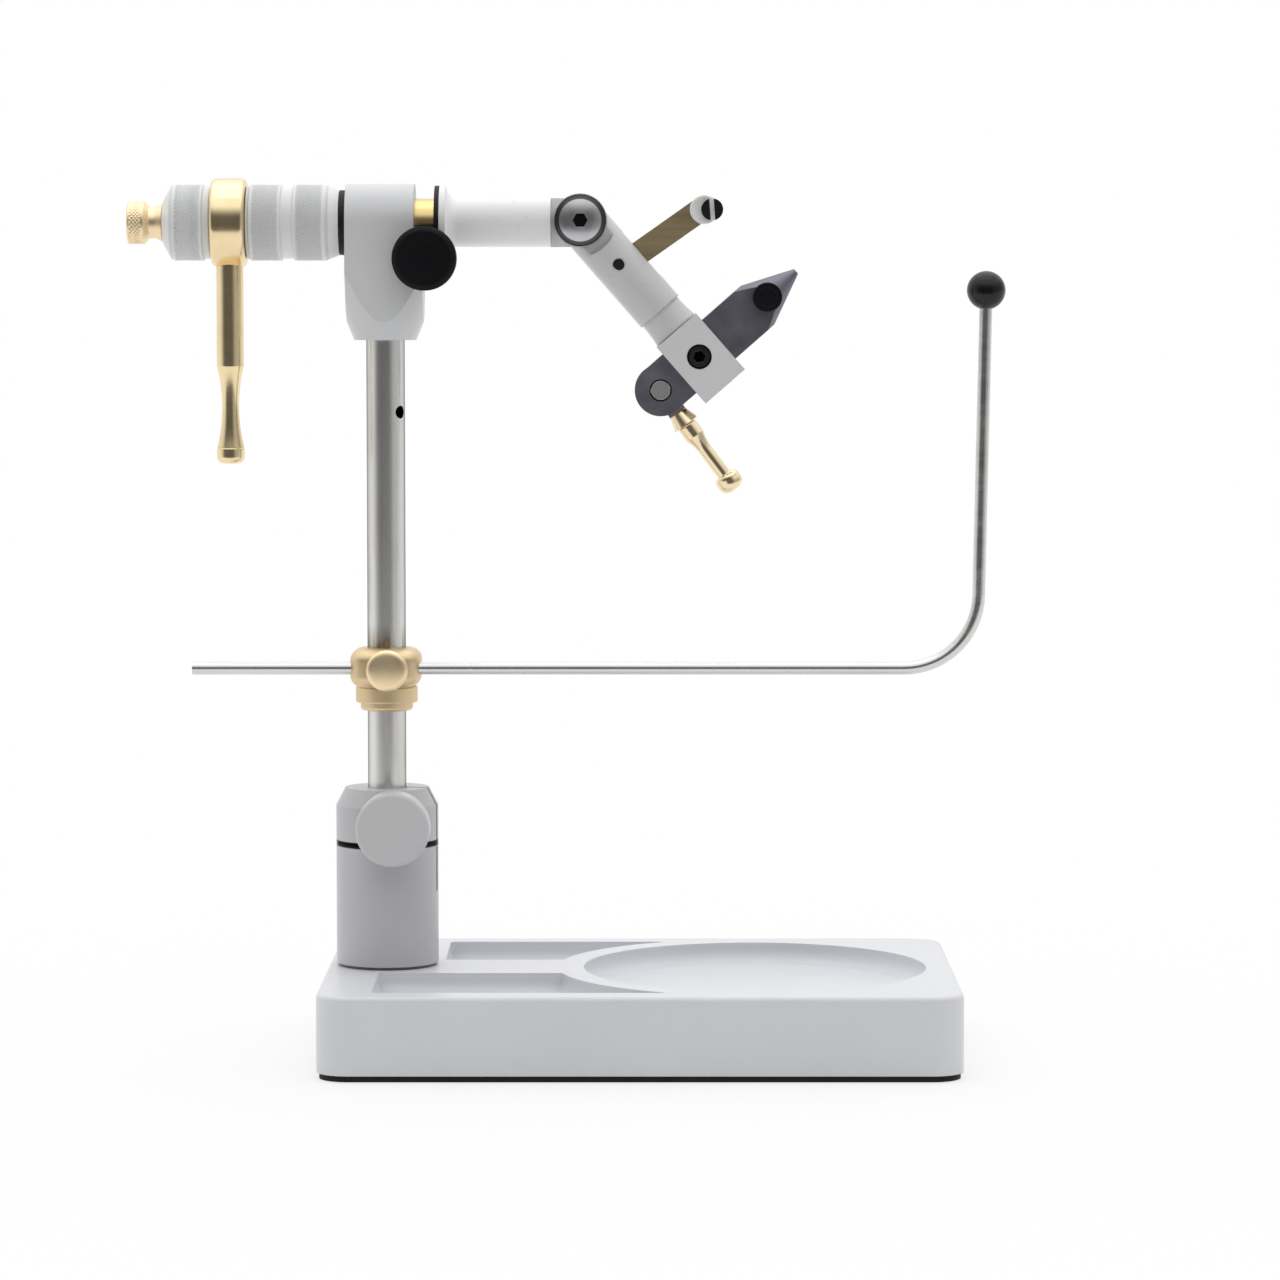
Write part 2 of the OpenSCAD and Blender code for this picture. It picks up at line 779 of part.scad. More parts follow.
module head_set_screw() color(black) {
    outer_y = plane_y + post_r + clear_gap + head_screw_len;
    to_front(post_x, outer_y, head_bottom + head_screw_rise) grub_screw(head_screw_r, head_screw_len);
}

// A plain bush on the rotary axis
module bush(x0, x1) {
    on_axis(x0) difference() {
        cylinder(r = bush_r, h = x1 - x0);
        translate([0, 0, -overrun]) cylinder(r = spindle_r + run_gap, h = x1 - x0 + 2 * overrun);
    }
}

module front_bush() color(gold) bush(bush_seam + face_gap, bush_end);

module rear_bush() color(gold) bush(head_left, bush_seam - face_gap);

module lock_knob() color(black) {
    back_y = plane_y - head_w / 2 - knob_back_gap;
    to_front(lock_x, back_y, lock_z) difference() {
        rotate_extrude() turned(lock_knob_r, lock_knob_t, near_r = knob_edge_r / 2, far_r = knob_edge_r);
        translate([0, 0, -overrun]) cylinder(r = lock_stud_r + run_gap, h = stud_seat + overrun);
    }
}

module lock_stud() color(steel) {
    front_y = plane_y - head_w / 2 - knob_back_gap - stud_seat + face_gap;
    back_y = plane_y + head_w / 2 - lock_wall - clear_gap;
    to_back(lock_x, front_y, lock_z) cylinder(r = lock_stud_r, h = back_y - front_y);
}

// Rotary parts

module spindle() color(steel) {
    on_axis(tail_x) cylinder(r = spindle_r, h = hub_x + spindle_seat - tail_x);
    on_axis(nut_x + spindle_tail_end)
        cylinder(r = spindle_tail_r, h = tail_x - nut_x - spindle_tail_end + overrun);
}

// A sleeve from its half outline, bored for the spindle
module sleeve(x, len) {
    on_axis(x) difference() {
        rotate_extrude() children();
        translate([0, 0, -overrun]) cylinder(r = spindle_r + run_gap, h = len + 2 * overrun);
    }
}

module tail_sleeve() color(coat) {
    cone_shares = [0.17, 0.25, 0.84, 0.87];
    r_shares = [0.55, 0.95, 1, 0.93];
    sleeve(tail_x, tail_len) polygon([
        [0, 0], [sleeve_r * r_shares[0], 0], [sleeve_r * r_shares[1], tail_len * cone_shares[0]],
        [sleeve_r * r_shares[2], tail_len * cone_shares[1]],
        [sleeve_r * r_shares[2], tail_len * cone_shares[2]],
        [sleeve_r - groove_depth, tail_len * cone_shares[3]], [sleeve_r - groove_depth, tail_len],
        [0, tail_len]
    ]);
}

module grip_sleeve() color(coat) {
    // Shares of the sleeve's length at which its bands begin and end
    band_shares = [0.025, 0.04, 0.37, 0.385, 0.5, 0.515, 0.845, 1];
    bevel_r_share = 0.85;
    inner = sleeve_r - groove_depth;
    sleeve(grip_x, grip_len) polygon([
        [0, 0], [inner, 0], [inner, grip_len * band_shares[0]], [sleeve_r, grip_len * band_shares[1]],
        [sleeve_r, grip_len * band_shares[2]], [inner, grip_len * band_shares[3]],
        [inner, grip_len * band_shares[4]], [sleeve_r, grip_len * band_shares[5]],
        [sleeve_r, grip_len * band_shares[6]], [sleeve_r * bevel_r_share, grip_len * band_shares[7]],
        [0, grip_len]
    ]);
}

module crank_ring() color(gold) {
    mid_x = ring_x + ring_w / 2;
    difference() {
        sleeve(ring_x, ring_w) turned(ring_r, ring_w, near_r = ring_edge_r, far_r = ring_edge_r);
        translate([mid_x, plane_y, axis_z - ring_r - overrun])
            cylinder(r = crank_r + run_gap, h = crank_seat + overrun);
        to_back(mid_x, plane_y, axis_z) cylinder(r = crank_screw_r + run_gap, h = ring_r + overrun);
    }
}

module crank_set_screw() color(black) {
    outer_y = plane_y + spindle_r + clear_gap + crank_screw_len;
    to_front(ring_x + ring_w / 2, outer_y, axis_z) grub_screw(crank_screw_r, crank_screw_len);
}

module crank_handle() color(gold) {
    // Lengths are measured down from the rotary axis
    start = ring_r - crank_seat + face_gap;
    waist_mid = (crank_straight + crank_waist_end) / 2;
    waist_half = (crank_waist_end - crank_straight) / 2;
    sag = crank_r - crank_waist_r;
    waist_arc_r = (pow(waist_half, 2) + pow(sag, 2)) / (2 * sag);
    translate([ring_x + ring_w / 2, plane_y, axis_z]) mirror([0, 0, 1]) rotate_extrude() {
        difference() {
            translate([0, start]) square([crank_r, crank_waist_end - start]);
            translate([crank_waist_r + waist_arc_r, waist_mid]) circle(r = waist_arc_r, $fn = 360);
        }
        translate([0, crank_waist_end])
            turned(crank_end_r, crank_reach - crank_waist_end,
                near_r = knob_edge_r / 2, far_r = crank_end_edge_r);
    }
}

module drag_washer() color(black) {
    sleeve(drag_x, drag_washer_t) square([drag_washer_r, drag_washer_t]);
}

module thrust_washer() color(black) {
    sleeve(thrust_x, thrust_washer_t) square([thrust_washer_r, thrust_washer_t]);
}

module rotor_arm() color(coat) {
    end = pivot_x - hub_x;
    knuckle_r = rotor_arm_r - pivot_rise;
    half = rotor_arm_r + overrun;
    difference() {
        union() {
            on_axis(hub_x) rotate_extrude() {
                square([rotor_arm_r, end]);
                square([thrust_washer_r - face_gap, hub_t]);
                translate([0, hub_t]) difference() {
                    square([rotor_arm_r + hub_fillet_r, hub_fillet_r]);
                    translate([rotor_arm_r + hub_fillet_r, hub_fillet_r]) circle(r = hub_fillet_r);
                }
            }
            to_back(pivot_x, plane_y, pivot_z) cylinder(r = knuckle_r, h = knuckle_r);
        }
        on_axis(hub_x - overrun) cylinder(r = spindle_r + run_gap, h = spindle_seat + face_gap + overrun);
        translate([pivot_x - knuckle_len, plane_y - half, axis_z - half])
            cube([2 * knuckle_len, half + lap_gap / 2, 2 * half]);
        to_back(pivot_x, plane_y - overrun, pivot_z)
            cylinder(r = pivot_shank_r + run_gap, h = rotor_arm_r + 2 * overrun);
    }
}

module pivot_washer() color(black) {
    to_front(pivot_x, plane_y - spot_y - face_gap, pivot_z) difference() {
        cylinder(r = pivot_washer_r, h = pivot_washer_t);
        translate([0, 0, -overrun])
            cylinder(r = pivot_shank_r + washer_hole_gap, h = pivot_washer_t + 2 * overrun);
    }
}

module pivot_screw() color(slate) {
    seat_y = plane_y - spot_y - 2 * face_gap - pivot_washer_t;
    dome_r = (pow(pivot_head_r, 2) + pow(pivot_dome_h, 2)) / (2 * pivot_dome_h);
    to_front(pivot_x, seat_y, pivot_z) difference() {
        union() {
            intersection() {
                cylinder(r = pivot_head_r, h = pivot_head_h);
                translate([0, 0, pivot_head_h - dome_r]) sphere(r = dome_r);
            }
            mirror([0, 0, 1]) cylinder(r = pivot_shank_r, h = spot_y + rotor_arm_r - pivot_rise);
        }
        translate([0, 0, pivot_head_h * (1 - socket_share)])
            cylinder(r = pivot_socket_r, h = pivot_head_h, $fn = 6);
    }
}

module tension_nut() color(gold) {
    head_edge_r = knob_edge_r / 2;
    // Shares of the length behind the head at which the bevel ends and the flare starts
    neck_shares = [0.28, 0.6];
    tail = nut_len - nut_head_len;
    on_axis(nut_x) difference() {
        rotate_extrude() {
            turned(nut_r, nut_head_len, near_r = head_edge_r);
            polygon([
                [0, nut_head_len], [nut_r, nut_head_len],
                [nut_neck_r, nut_head_len + tail * neck_shares[0]],
                [nut_neck_r, nut_head_len + tail * neck_shares[1]],
                [nut_flare_r, nut_len], [0, nut_len]
            ]);
        }
        translate([0, 0, spindle_tail_end - face_gap])
            cylinder(r = spindle_tail_r + run_gap, h = nut_len + overrun);
    }
}

// Jaw arm

module arm_bar() color(coat) {
    far = block_start - face_gap;
    half = arm_r + overrun;
    waist_x = far - arm_flare_len;
    sag = arm_r - arm_neck_r;
    flare_arc_r = (pow(arm_flare_len, 2) + pow(sag, 2)) / (2 * sag);
    in_arm() difference() {
        union() {
            rotate([0, 90, 0]) rotate_extrude() {
                square([arm_r, waist_x]);
                translate([0, waist_x]) difference() {
                    square([arm_r, arm_flare_len]);
                    translate([arm_neck_r + flare_arc_r, 0]) circle(r = flare_arc_r, $fn = 360);
                }
            }
            to_front(0, 0, 0) cylinder(r = tang_r, h = spot_y);
            translate([far - overrun, 0, 0]) rotate([0, 90, 0])
                cylinder(r = arm_spigot_r, h = arm_spigot_len + overrun);
        }
        translate([-half, -lap_gap / 2, -half]) cube([half + rear_start, half + overrun, 2 * half]);
        to_front(0, -spot_y, 0) cylinder(r = spot_r, h = half);
        to_front(0, half, 0) cylinder(r = pivot_shank_r + run_gap, h = 2 * half);
        to_front(gauge_pin_reach, half, 0) cylinder(r = gauge_pin_r + run_gap, h = 2 * half);
        translate([gauge_pin_reach - gauge_slot_left, -gauge_t / 2 - clear_gap, -gauge_slot_back])
            cube([gauge_slot_left + gauge_slot_right, gauge_t + 2 * clear_gap, gauge_slot_back + half]);
    }
}

module jaw_block() color(silver) {
    half = block_w / 2;
    in_arm() difference() {
        translate([block_start, -half, -half]) cube([block_len, block_w, block_w]);
        translate([jaw_reach - slot_half_x, -slot_half_y, -half - overrun])
            cube([2 * slot_half_x, 2 * slot_half_y, block_w + 2 * overrun]);
        translate([block_start - overrun, 0, 0]) rotate([0, 90, 0])
            cylinder(r = arm_spigot_r + run_gap, h = arm_spigot_len + face_gap + overrun);
        to_back(jaw_reach, -half - overrun, 0)
            cylinder(r = jaw_screw_head_r + run_gap, h = jaw_screw_head_h + overrun);
        to_back(jaw_reach, -half - overrun, 0)
            cylinder(r = jaw_screw_r + run_gap, h = block_w + overrun - jaw_screw_wall);
    }
}

module gauge_pin() color(black) {
    len = 2 * (arm_r - gauge_pin_sink);
    in_arm() to_back(gauge_pin_reach, -len / 2, 0) cylinder(r = gauge_pin_r, h = len);
}

module jaw_screw() color(black) {
    shank = block_w - jaw_screw_head_h - jaw_screw_wall - face_gap;
    in_arm() to_back(jaw_reach, -block_w / 2 - face_gap / 2, 0)
        socket_screw(jaw_screw_head_r, jaw_screw_head_h, jaw_screw_r, shank);
}

// A jaw lying behind the middle plane, in the jaws' frame; the front jaw is its mirror image
module jaw_plate(pin_hole_r, screw_hole_r, relief) {
    half = jaw_w / 2;
    nose = jaw_len - jaw_shoulder;
    slope = (half - jaw_tip_r) / nose;
    tail_cone = (half + jaw_t) / slope;
    difference() {
        intersection() {
            translate([0, jaw_gap / 2, 0]) rotate([-90, 0, 0]) linear_extrude(jaw_t) mirror([0, 1]) {
                circle(r = jaw_end_r);
                polygon([
                    [-half, 0], [half, 0], [half, jaw_shoulder], [jaw_tip_r, jaw_len],
                    [-jaw_tip_r, jaw_len], [-half, jaw_shoulder]
                ]);
            }
            rotate_extrude() polygon([
                [0, -jaw_w], [jaw_tip_r + slope * jaw_len, -jaw_w], [jaw_tip_r + slope * jaw_len, 0],
                [jaw_tip_r, jaw_len], [0, jaw_len]
            ]);
        }
        translate([-jaw_w, 0, -jaw_w]) cube([2 * jaw_w, relief, jaw_w + barrel_r + ear_relief]);
        to_back(0, -overrun, 0) cylinder(r = pin_hole_r, h = jaw_half + 2 * overrun);
        to_back(0, -overrun, pin_back) cylinder(r = screw_hole_r, h = jaw_half + 2 * overrun);
    }
}

module rear_jaw() color(slate) {
    in_jaw() jaw_plate(cam_pin_r + run_gap, jaw_screw_r + run_gap, barrel_w / 2 + clear_gap);
}

module front_jaw() color(slate) {
    in_jaw() difference() {
        mirror([0, 1, 0]) jaw_plate(cam_hole_r, jaw_screw_r + jaw_screw_room, barrel_w / 2 + cam_room);
        to_front(0, overrun, jaw_knob_reach)
            cylinder(r = jaw_stud_r + run_gap, h = jaw_half + 2 * overrun);
    }
}

module cam_pin() color(steel) {
    in_jaw() to_back(0, -jaw_half, 0) cylinder(r = cam_pin_r, h = 2 * jaw_half);
}

module jaw_knob() color(black) {
    in_jaw() to_front(0, -jaw_half - clear_gap, jaw_knob_reach) difference() {
        rotate_extrude()
            turned(jaw_knob_r, jaw_knob_h, near_r = knob_edge_r / 2, far_r = jaw_knob_edge_r);
        translate([0, 0, -overrun]) cylinder(r = jaw_stud_r + run_gap, h = jaw_knob_h / 2 + overrun);
    }
}

module jaw_stud() color(steel) {
    front_y = -jaw_half - clear_gap - jaw_knob_h / 2 + face_gap;
    in_jaw() to_back(0, front_y, jaw_knob_reach)
        cylinder(r = jaw_stud_r, h = -jaw_gap / 2 - front_y);
}

// Cam lever

module cam_barrel() color(gold) {
    in_lever() difference() {
        union() {
            to_back(0, -barrel_w / 2, 0) cylinder(r = barrel_r, h = barrel_w);
            translate([-lever_neck_r, -barrel_w / 2, 0])
                cube([2 * lever_neck_r, barrel_w, hub_start + face_gap]);
            translate([0, 0, hub_start])
                cylinder(r1 = lever_neck_r, r2 = lever_hub_r, h = hub_end - hub_start);
        }
        to_back(0, -barrel_w, 0) cylinder(r = cam_pin_r + run_gap, h = 2 * barrel_w);
        translate([0, 0, hub_start]) cylinder(r = lever_spigot_r + run_gap, h = hub_end);
    }
}

module lever_handle() color(gold) {
    start = hub_end + face_gap;
    knob_start = lever_len - lever_knob_len;
    taper = lever_taper_end - lever_shoulder_end;
    sag = lever_shoulder_r - lever_stem_r;
    arc_r = (pow(taper, 2) + pow(sag, 2)) / (2 * sag);
    in_lever() {
        translate([0, 0, hub_start + face_gap]) cylinder(r = lever_spigot_r, h = start - hub_start);
        rotate_extrude() {
            translate([0, start])
                turned(lever_shoulder_r, lever_shoulder_end - start, near_r = knob_edge_r / 2);
            difference() {
                translate([0, lever_shoulder_end]) square([lever_shoulder_r, taper]);
                translate([lever_stem_r + arc_r, lever_taper_end]) circle(r = arc_r, $fn = 360);
            }
            translate([0, lever_taper_end]) square([lever_stem_r, knob_start - lever_taper_end]);
            translate([0, knob_start])
                turned(lever_knob_r, lever_knob_len, near_r = lever_knob_near_r, far_r = lever_knob_far_r);
        }
    }
}

// Hook gauge

module gauge_bar() color(gold) {
    left = gauge_offset - gauge_w / 2;
    right = gauge_offset + gauge_w / 2;
    eye_left = gauge_screw_dx - gauge_eye_r;
    in_gauge() rotate([90, 0, 0]) translate([0, 0, -gauge_t / 2]) linear_extrude(gauge_t) difference() {
        union() {
            circle(r = -left);
            translate([left, 0]) square([gauge_w, gauge_len]);
            translate([gauge_screw_dx, gauge_screw_z]) circle(r = gauge_eye_r);
            translate([eye_left, gauge_len - gauge_eye_r])
                square([right - eye_left, gauge_screw_z - gauge_len + gauge_eye_r]);
        }
        circle(r = gauge_pin_r + run_gap);
        translate([gauge_screw_dx, gauge_screw_z]) circle(r = gauge_screw_shank_r + run_gap);
    }
}

module gauge_button() color(silver) {
    back_y = -gauge_t / 2 - face_gap / 2;
    in_gauge() difference() {
        to_front(gauge_button_dx, back_y, gauge_button_z) rotate_extrude()
            turned(gauge_button_r, gauge_button_t, far_r = knob_edge_r / 2);
        to_front(gauge_screw_dx, back_y + overrun, gauge_screw_z)
            cylinder(r = gauge_screw_shank_r + run_gap, h = gauge_button_t + 2 * overrun);
    }
}

module gauge_screw() color(black) {
    shank = gauge_button_t + gauge_t;
    seat_y = -gauge_t / 2 - face_gap - gauge_button_t;
    in_gauge() to_front(gauge_screw_dx, seat_y, gauge_screw_z) difference() {
        union() {
            cylinder(r = gauge_screw_r, h = gauge_screw_head_h);
            mirror([0, 0, 1]) cylinder(r = gauge_screw_shank_r, h = shank);
        }
        rotate([0, 0, 90 - gauge_angle + screw_slot_lean]) translate([
            -screw_slot_w / 2, -gauge_screw_r - overrun, gauge_screw_head_h - screw_slot_depth
        ]) cube([screw_slot_w, 2 * (gauge_screw_r + overrun), screw_slot_depth + overrun]);
    }
}

base_plate();
foot_pad();
clamp_column();
column_bolt();
column_knob();
column_stud();
post();
stop_collar();
collar_screw();
cradle_body();
cradle_knob();
cradle_rod();
rod_ball();
head_block();
head_set_screw();
front_bush();
rear_bush();
lock_knob();
lock_stud();
spindle();
tail_sleeve();
grip_sleeve();
crank_ring();
crank_handle();
crank_set_screw();
drag_washer();
thrust_washer();
rotor_arm();
pivot_screw();
pivot_washer();
tension_nut();
arm_bar();
jaw_block();
gauge_pin();
jaw_screw();
rear_jaw();
cam_pin();
gauge_bar();
gauge_button();
gauge_screw();
cam_barrel();
lever_handle();
front_jaw();
jaw_knob();
jaw_stud();
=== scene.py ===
import math

import bpy
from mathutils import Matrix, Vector


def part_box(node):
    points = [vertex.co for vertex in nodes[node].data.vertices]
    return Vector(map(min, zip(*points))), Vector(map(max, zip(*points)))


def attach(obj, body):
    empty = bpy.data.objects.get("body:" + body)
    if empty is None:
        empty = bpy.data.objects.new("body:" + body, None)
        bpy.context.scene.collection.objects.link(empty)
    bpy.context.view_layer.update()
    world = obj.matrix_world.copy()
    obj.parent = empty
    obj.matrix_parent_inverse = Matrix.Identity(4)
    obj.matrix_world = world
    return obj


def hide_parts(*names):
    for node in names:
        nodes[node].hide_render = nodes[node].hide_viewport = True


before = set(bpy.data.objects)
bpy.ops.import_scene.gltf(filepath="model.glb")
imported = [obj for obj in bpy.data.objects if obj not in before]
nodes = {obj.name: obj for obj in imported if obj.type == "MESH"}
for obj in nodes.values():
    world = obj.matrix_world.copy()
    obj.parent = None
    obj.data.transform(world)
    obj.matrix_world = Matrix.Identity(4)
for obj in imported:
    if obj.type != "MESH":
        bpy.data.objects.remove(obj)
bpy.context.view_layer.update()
scene = bpy.context.scene

MM = 0.001
AXES = "xyz"
FULL_TURN = 2 * math.pi
WHITE = (1.0, 1.0, 1.0)
# Depth of the sleeves' knurl
KNURL = 0.3 * MM
# Play between a bore and what runs in it, as in the solids
RUN_GAP = 0.05 * MM
# Radius of a turned outline where it meets its own axis
TINY = 0.02 * MM


def add_object(name, data):
    """An object in the scene that holds the data."""
    obj = bpy.data.objects.new(name, data)
    scene.collection.objects.link(obj)
    return obj


def aim(obj, place, target):
    """Put a camera or a lamp at place and point it at target."""
    obj.location = place
    obj.rotation_euler = (Vector(target) - Vector(place)).to_track_quat("-Z", "Y").to_euler()


# Camera, at the photograph's viewing angle

EYE = (0.0, -1.1607, 0.1893)
LOOK_AT = (0.0, 0.005, 0.1016)
SENSOR = 36
LENS = 132.2
CLIP = (0.01, 60.0)

camera_data = bpy.data.cameras.new("camera")
camera_data.sensor_width = SENSOR
camera_data.lens = LENS
camera_data.clip_start, camera_data.clip_end = CLIP
camera = add_object("camera", camera_data)
aim(camera, EYE, LOOK_AT)
scene.camera = camera

# Materials


def tone(colour, factor):
    """The colour made lighter or darker."""
    return tuple(min(1.0, c * factor) for c in colour)


class Graph:
    """A node tree under construction, with the coordinates that it works in."""

    def __init__(self, tree, space):
        self.tree = tree
        self.coords = self.add("ShaderNodeTexCoord").outputs[space]

    def add(self, kind, **values):
        node = self.tree.nodes.new(kind)
        for key, value in values.items():
            setattr(node, key, value)
        return node

    def link(self, a, b):
        self.tree.links.new(a, b)

    def place(self):
        """The coordinates as sockets X, Y and Z."""
        node = self.add("ShaderNodeSeparateXYZ")
        self.link(self.coords, node.inputs["Vector"])
        return node.outputs

    def length(self, vector):
        node = self.add("ShaderNodeVectorMath", operation="LENGTH")
        self.link(vector, node.inputs[0])
        return node.outputs["Value"]

    def math(self, operation, a, b=0.0):
        node = self.add("ShaderNodeMath", operation=operation)
        for socket, value in zip(node.inputs, (a, b)):
            if isinstance(value, (int, float)):
                socket.default_value = value
            else:
                self.link(value, socket)
        return node.outputs["Value"]

    def span(self, source, low, high, start=0.0, end=1.0, smooth=False):
        """Low where source is at start, high where it is at end, and even or smooth between."""
        node = self.add("ShaderNodeMapRange")
        if smooth:
            node.interpolation_type = "SMOOTHSTEP"
        for key, value in (("From Min", start), ("From Max", end), ("To Min", low), ("To Max", high)):
            node.inputs[key].default_value = value
        self.link(source, node.inputs["Value"])
        return node.outputs["Result"]

    def ramp(self, source, stops):
        """A colour ramp through stops, each a place and a colour."""
        node = self.add("ShaderNodeValToRGB")
        elements = node.color_ramp.elements
        while len(elements) < len(stops):
            elements.new(0.5)
        for element, (place, colour) in zip(elements, stops):
            element.position = place
            element.color = (*colour, 1)
        self.link(source, node.inputs["Fac"])
        return node.outputs["Color"]

    def mix(self, factor, a, b):
        """Colour a where factor is 0 and b where it is 1; each is a colour or a socket."""
        node = self.add("ShaderNodeMix", data_type="RGBA")
        self.link(factor, node.inputs["Factor"])
        for key, value in (("A", a), ("B", b)):
            if isinstance(value, tuple):
                node.inputs[key].default_value = (*value, 1)
            else:
                self.link(value, node.inputs[key])
        return node.outputs["Result"]


class Look(Graph):
    """A surface material, with its textures in the object's own metres."""

    def __init__(self, name):
        self.material = bpy.data.materials.new(name)
        self.material.use_nodes = True
        super().__init__(self.material.node_tree, "Object")
        self.bsdf = self.tree.nodes["Principled BSDF"]

    def noise(self, scale, detail=4, rough=0.55, vector=None):
        node = self.add("ShaderNodeTexNoise")
        for key, value in (("Scale", scale), ("Detail", detail), ("Roughness", rough)):
            node.inputs[key].default_value = value
        self.link(vector or self.coords, node.inputs["Vector"])
        return node.outputs["Fac"]

    def stretched(self, across, along, axis, detail, rough):
        """Noise with one scale across an axis and another along it."""
        node = self.add("ShaderNodeMapping")
        node.inputs["Scale"].default_value = tuple(along if name == axis else across for name in AXES)
        self.link(self.coords, node.inputs["Vector"])
        return self.noise(1.0, detail, rough, node.outputs["Vector"])

    def shades(self, source, colour, dark, middle, light):
        """The colour where source is middle; dark and light are a place each and the factor there."""
        return self.ramp(source, [(dark[0], tone(colour, dark[1])), (middle, colour),
                                  (light[0], tone(colour, light[1]))])

    def distance(self, centre, flat):
        """Distance from a line through centre along the axis named flat."""
        shift = self.add("ShaderNodeVectorMath", operation="SUBTRACT")
        shift.inputs[1].default_value = tuple(centre)
        self.link(self.coords, shift.inputs[0])
        press = self.add("ShaderNodeVectorMath", operation="MULTIPLY")
        press.inputs[1].default_value = tuple(0.0 if axis == flat else 1.0 for axis in AXES)
        self.link(shift.outputs["Vector"], press.inputs[0])
        return self.length(press.outputs["Vector"])

    def both(self, a, b):
        """1 where a and b are 1, and their product between."""
        return self.math("MULTIPLY", a, b)

    def blend(self, a, b, share):
        """A share of a, and the rest of b."""
        return self.math("ADD", self.math("MULTIPLY", a, share), self.math("MULTIPLY", b, 1.0 - share))

    def round_shade(self, tint, node, flat, beyond, shade, gate=1.0):
        """The tint, but shade near a round node's own line, as far as beyond past its radius.

        It is so only where gate is 1.
        """
        low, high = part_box(node)
        reach = (high[0] - low[0]) / 2 + beyond
        inside = self.math("LESS_THAN", self.distance((low + high) / 2, flat), reach)
        return self.mix(self.both(inside, gate), tint, shade)

    def surface(self, height, strength, depth, edge):
        """The normal of fine relief on a surface whose edges are rounded."""
        bevel = self.add("ShaderNodeBevel", samples=4)
        bevel.inputs["Radius"].default_value = edge
        bump = self.add("ShaderNodeBump")
        bump.inputs["Strength"].default_value = strength
        bump.inputs["Distance"].default_value = depth
        self.link(height, bump.inputs["Height"])
        self.link(bevel.outputs["Normal"], bump.inputs["Normal"])
        return bump.outputs["Normal"]

    def finish(self, colour, rough, normal, **constants):
        for key, socket in (("Base Color", colour), ("Roughness", rough), ("Normal", normal)):
            self.link(socket, self.bsdf.inputs[key])
        for key, value in constants.items():
            self.bsdf.inputs[key.replace("_", " ")].default_value = value
        return self.material


def powder_coat(name, colour, grain=1500, depth=0.01 * MM, rough=(0.34, 0.38), edge=0.35 * MM, knurled=None,
                split=None):
    """Satin powder coat: fine orange peel and faint blotches.

    knurled names a sleeve along x whose knurl has painted shade in its grooves. split names an upright
    column whose kerf and slit have painted shade inside, below its bevel.
    """
    look = Look(name)
    peel = look.noise(grain, 3, 0.6)
    tint = look.shades(look.noise(38, 5, 0.6), colour, (0.25, 0.97), 0.5, (0.78, 1.025))
    shine = look.span(look.noise(220), *rough, 0.3, 0.7)
    # Painted shade: the knurl darker towards the bottom of its grooves
    if knurled:
        low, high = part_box(knurled)
        crest = (high[2] - low[2]) / 2
        away = look.distance((low + high) / 2, "x")
        in_knurl = look.math("GREATER_THAN", away, crest - KNURL - 0.1 * MM)
        cut = look.both(look.span(away, 1.0, 0.0, crest - KNURL, crest), in_knurl)
        tint = look.mix(cut, tint, tone(colour, 0.8))
    # Painted shade inside the column's kerf and slit, below its bevel
    if split:
        bevel = 4.6 * MM
        skin = 0.4 * MM
        below = look.math("LESS_THAN", look.place()["Z"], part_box(split)[1][2] - bevel)
        tint = look.round_shade(tint, split, "z", -skin, tone(colour, 0.28), below)
    return look.finish(tint, shine, look.surface(peel, 0.3, depth, edge), Specular_IOR_Level=0.5)


def turned_metal(name, colour, axis, rough=(0.16, 0.28), line=2600, depth=0.002 * MM, dull=0.92, spots=90,
                 pin=None):
    """Metal turned or ground about one axis: fine rings, with a little stain and dulling.

    pin names a round node that goes through it; the face round that pin has painted shade.
    """
    look = Look(name)
    rings = look.stretched(14.0, float(line), axis, 2, 0.5)
    stain = look.noise(spots, 6, 0.65)
    tint = look.shades(stain, colour, (0.28, dull), 0.52, (0.8, 1.04))
    shine = look.span(look.blend(rings, stain, 0.5), *rough, 0.32, 0.68)
    # Painted shade on the face round the pin
    if pin:
        tint = look.round_shade(tint, pin, "y", 0.4 * MM, tone(colour, 0.03))
    return look.finish(tint, shine, look.surface(rings, 0.5, depth, 0.18 * MM), Metallic=1.0)


def drawn_metal(name, colour, along, rough, depth):
    """Bar stock: faint lines along its length and small scuffs."""
    look = Look(name)
    lines = look.stretched(900.0, 9.0, along, 3, 0.55)
    scuff = look.noise(160, 6, 0.7)
    tint = look.shades(lines, colour, (0.25, 0.86), 0.5, (0.75, 1.06))
    shine = look.span(look.blend(lines, scuff, 0.6), *rough, 0.35, 0.65)
    return look.finish(tint, shine, look.surface(lines, 0.5, depth, 0.18 * MM), Metallic=1.0)


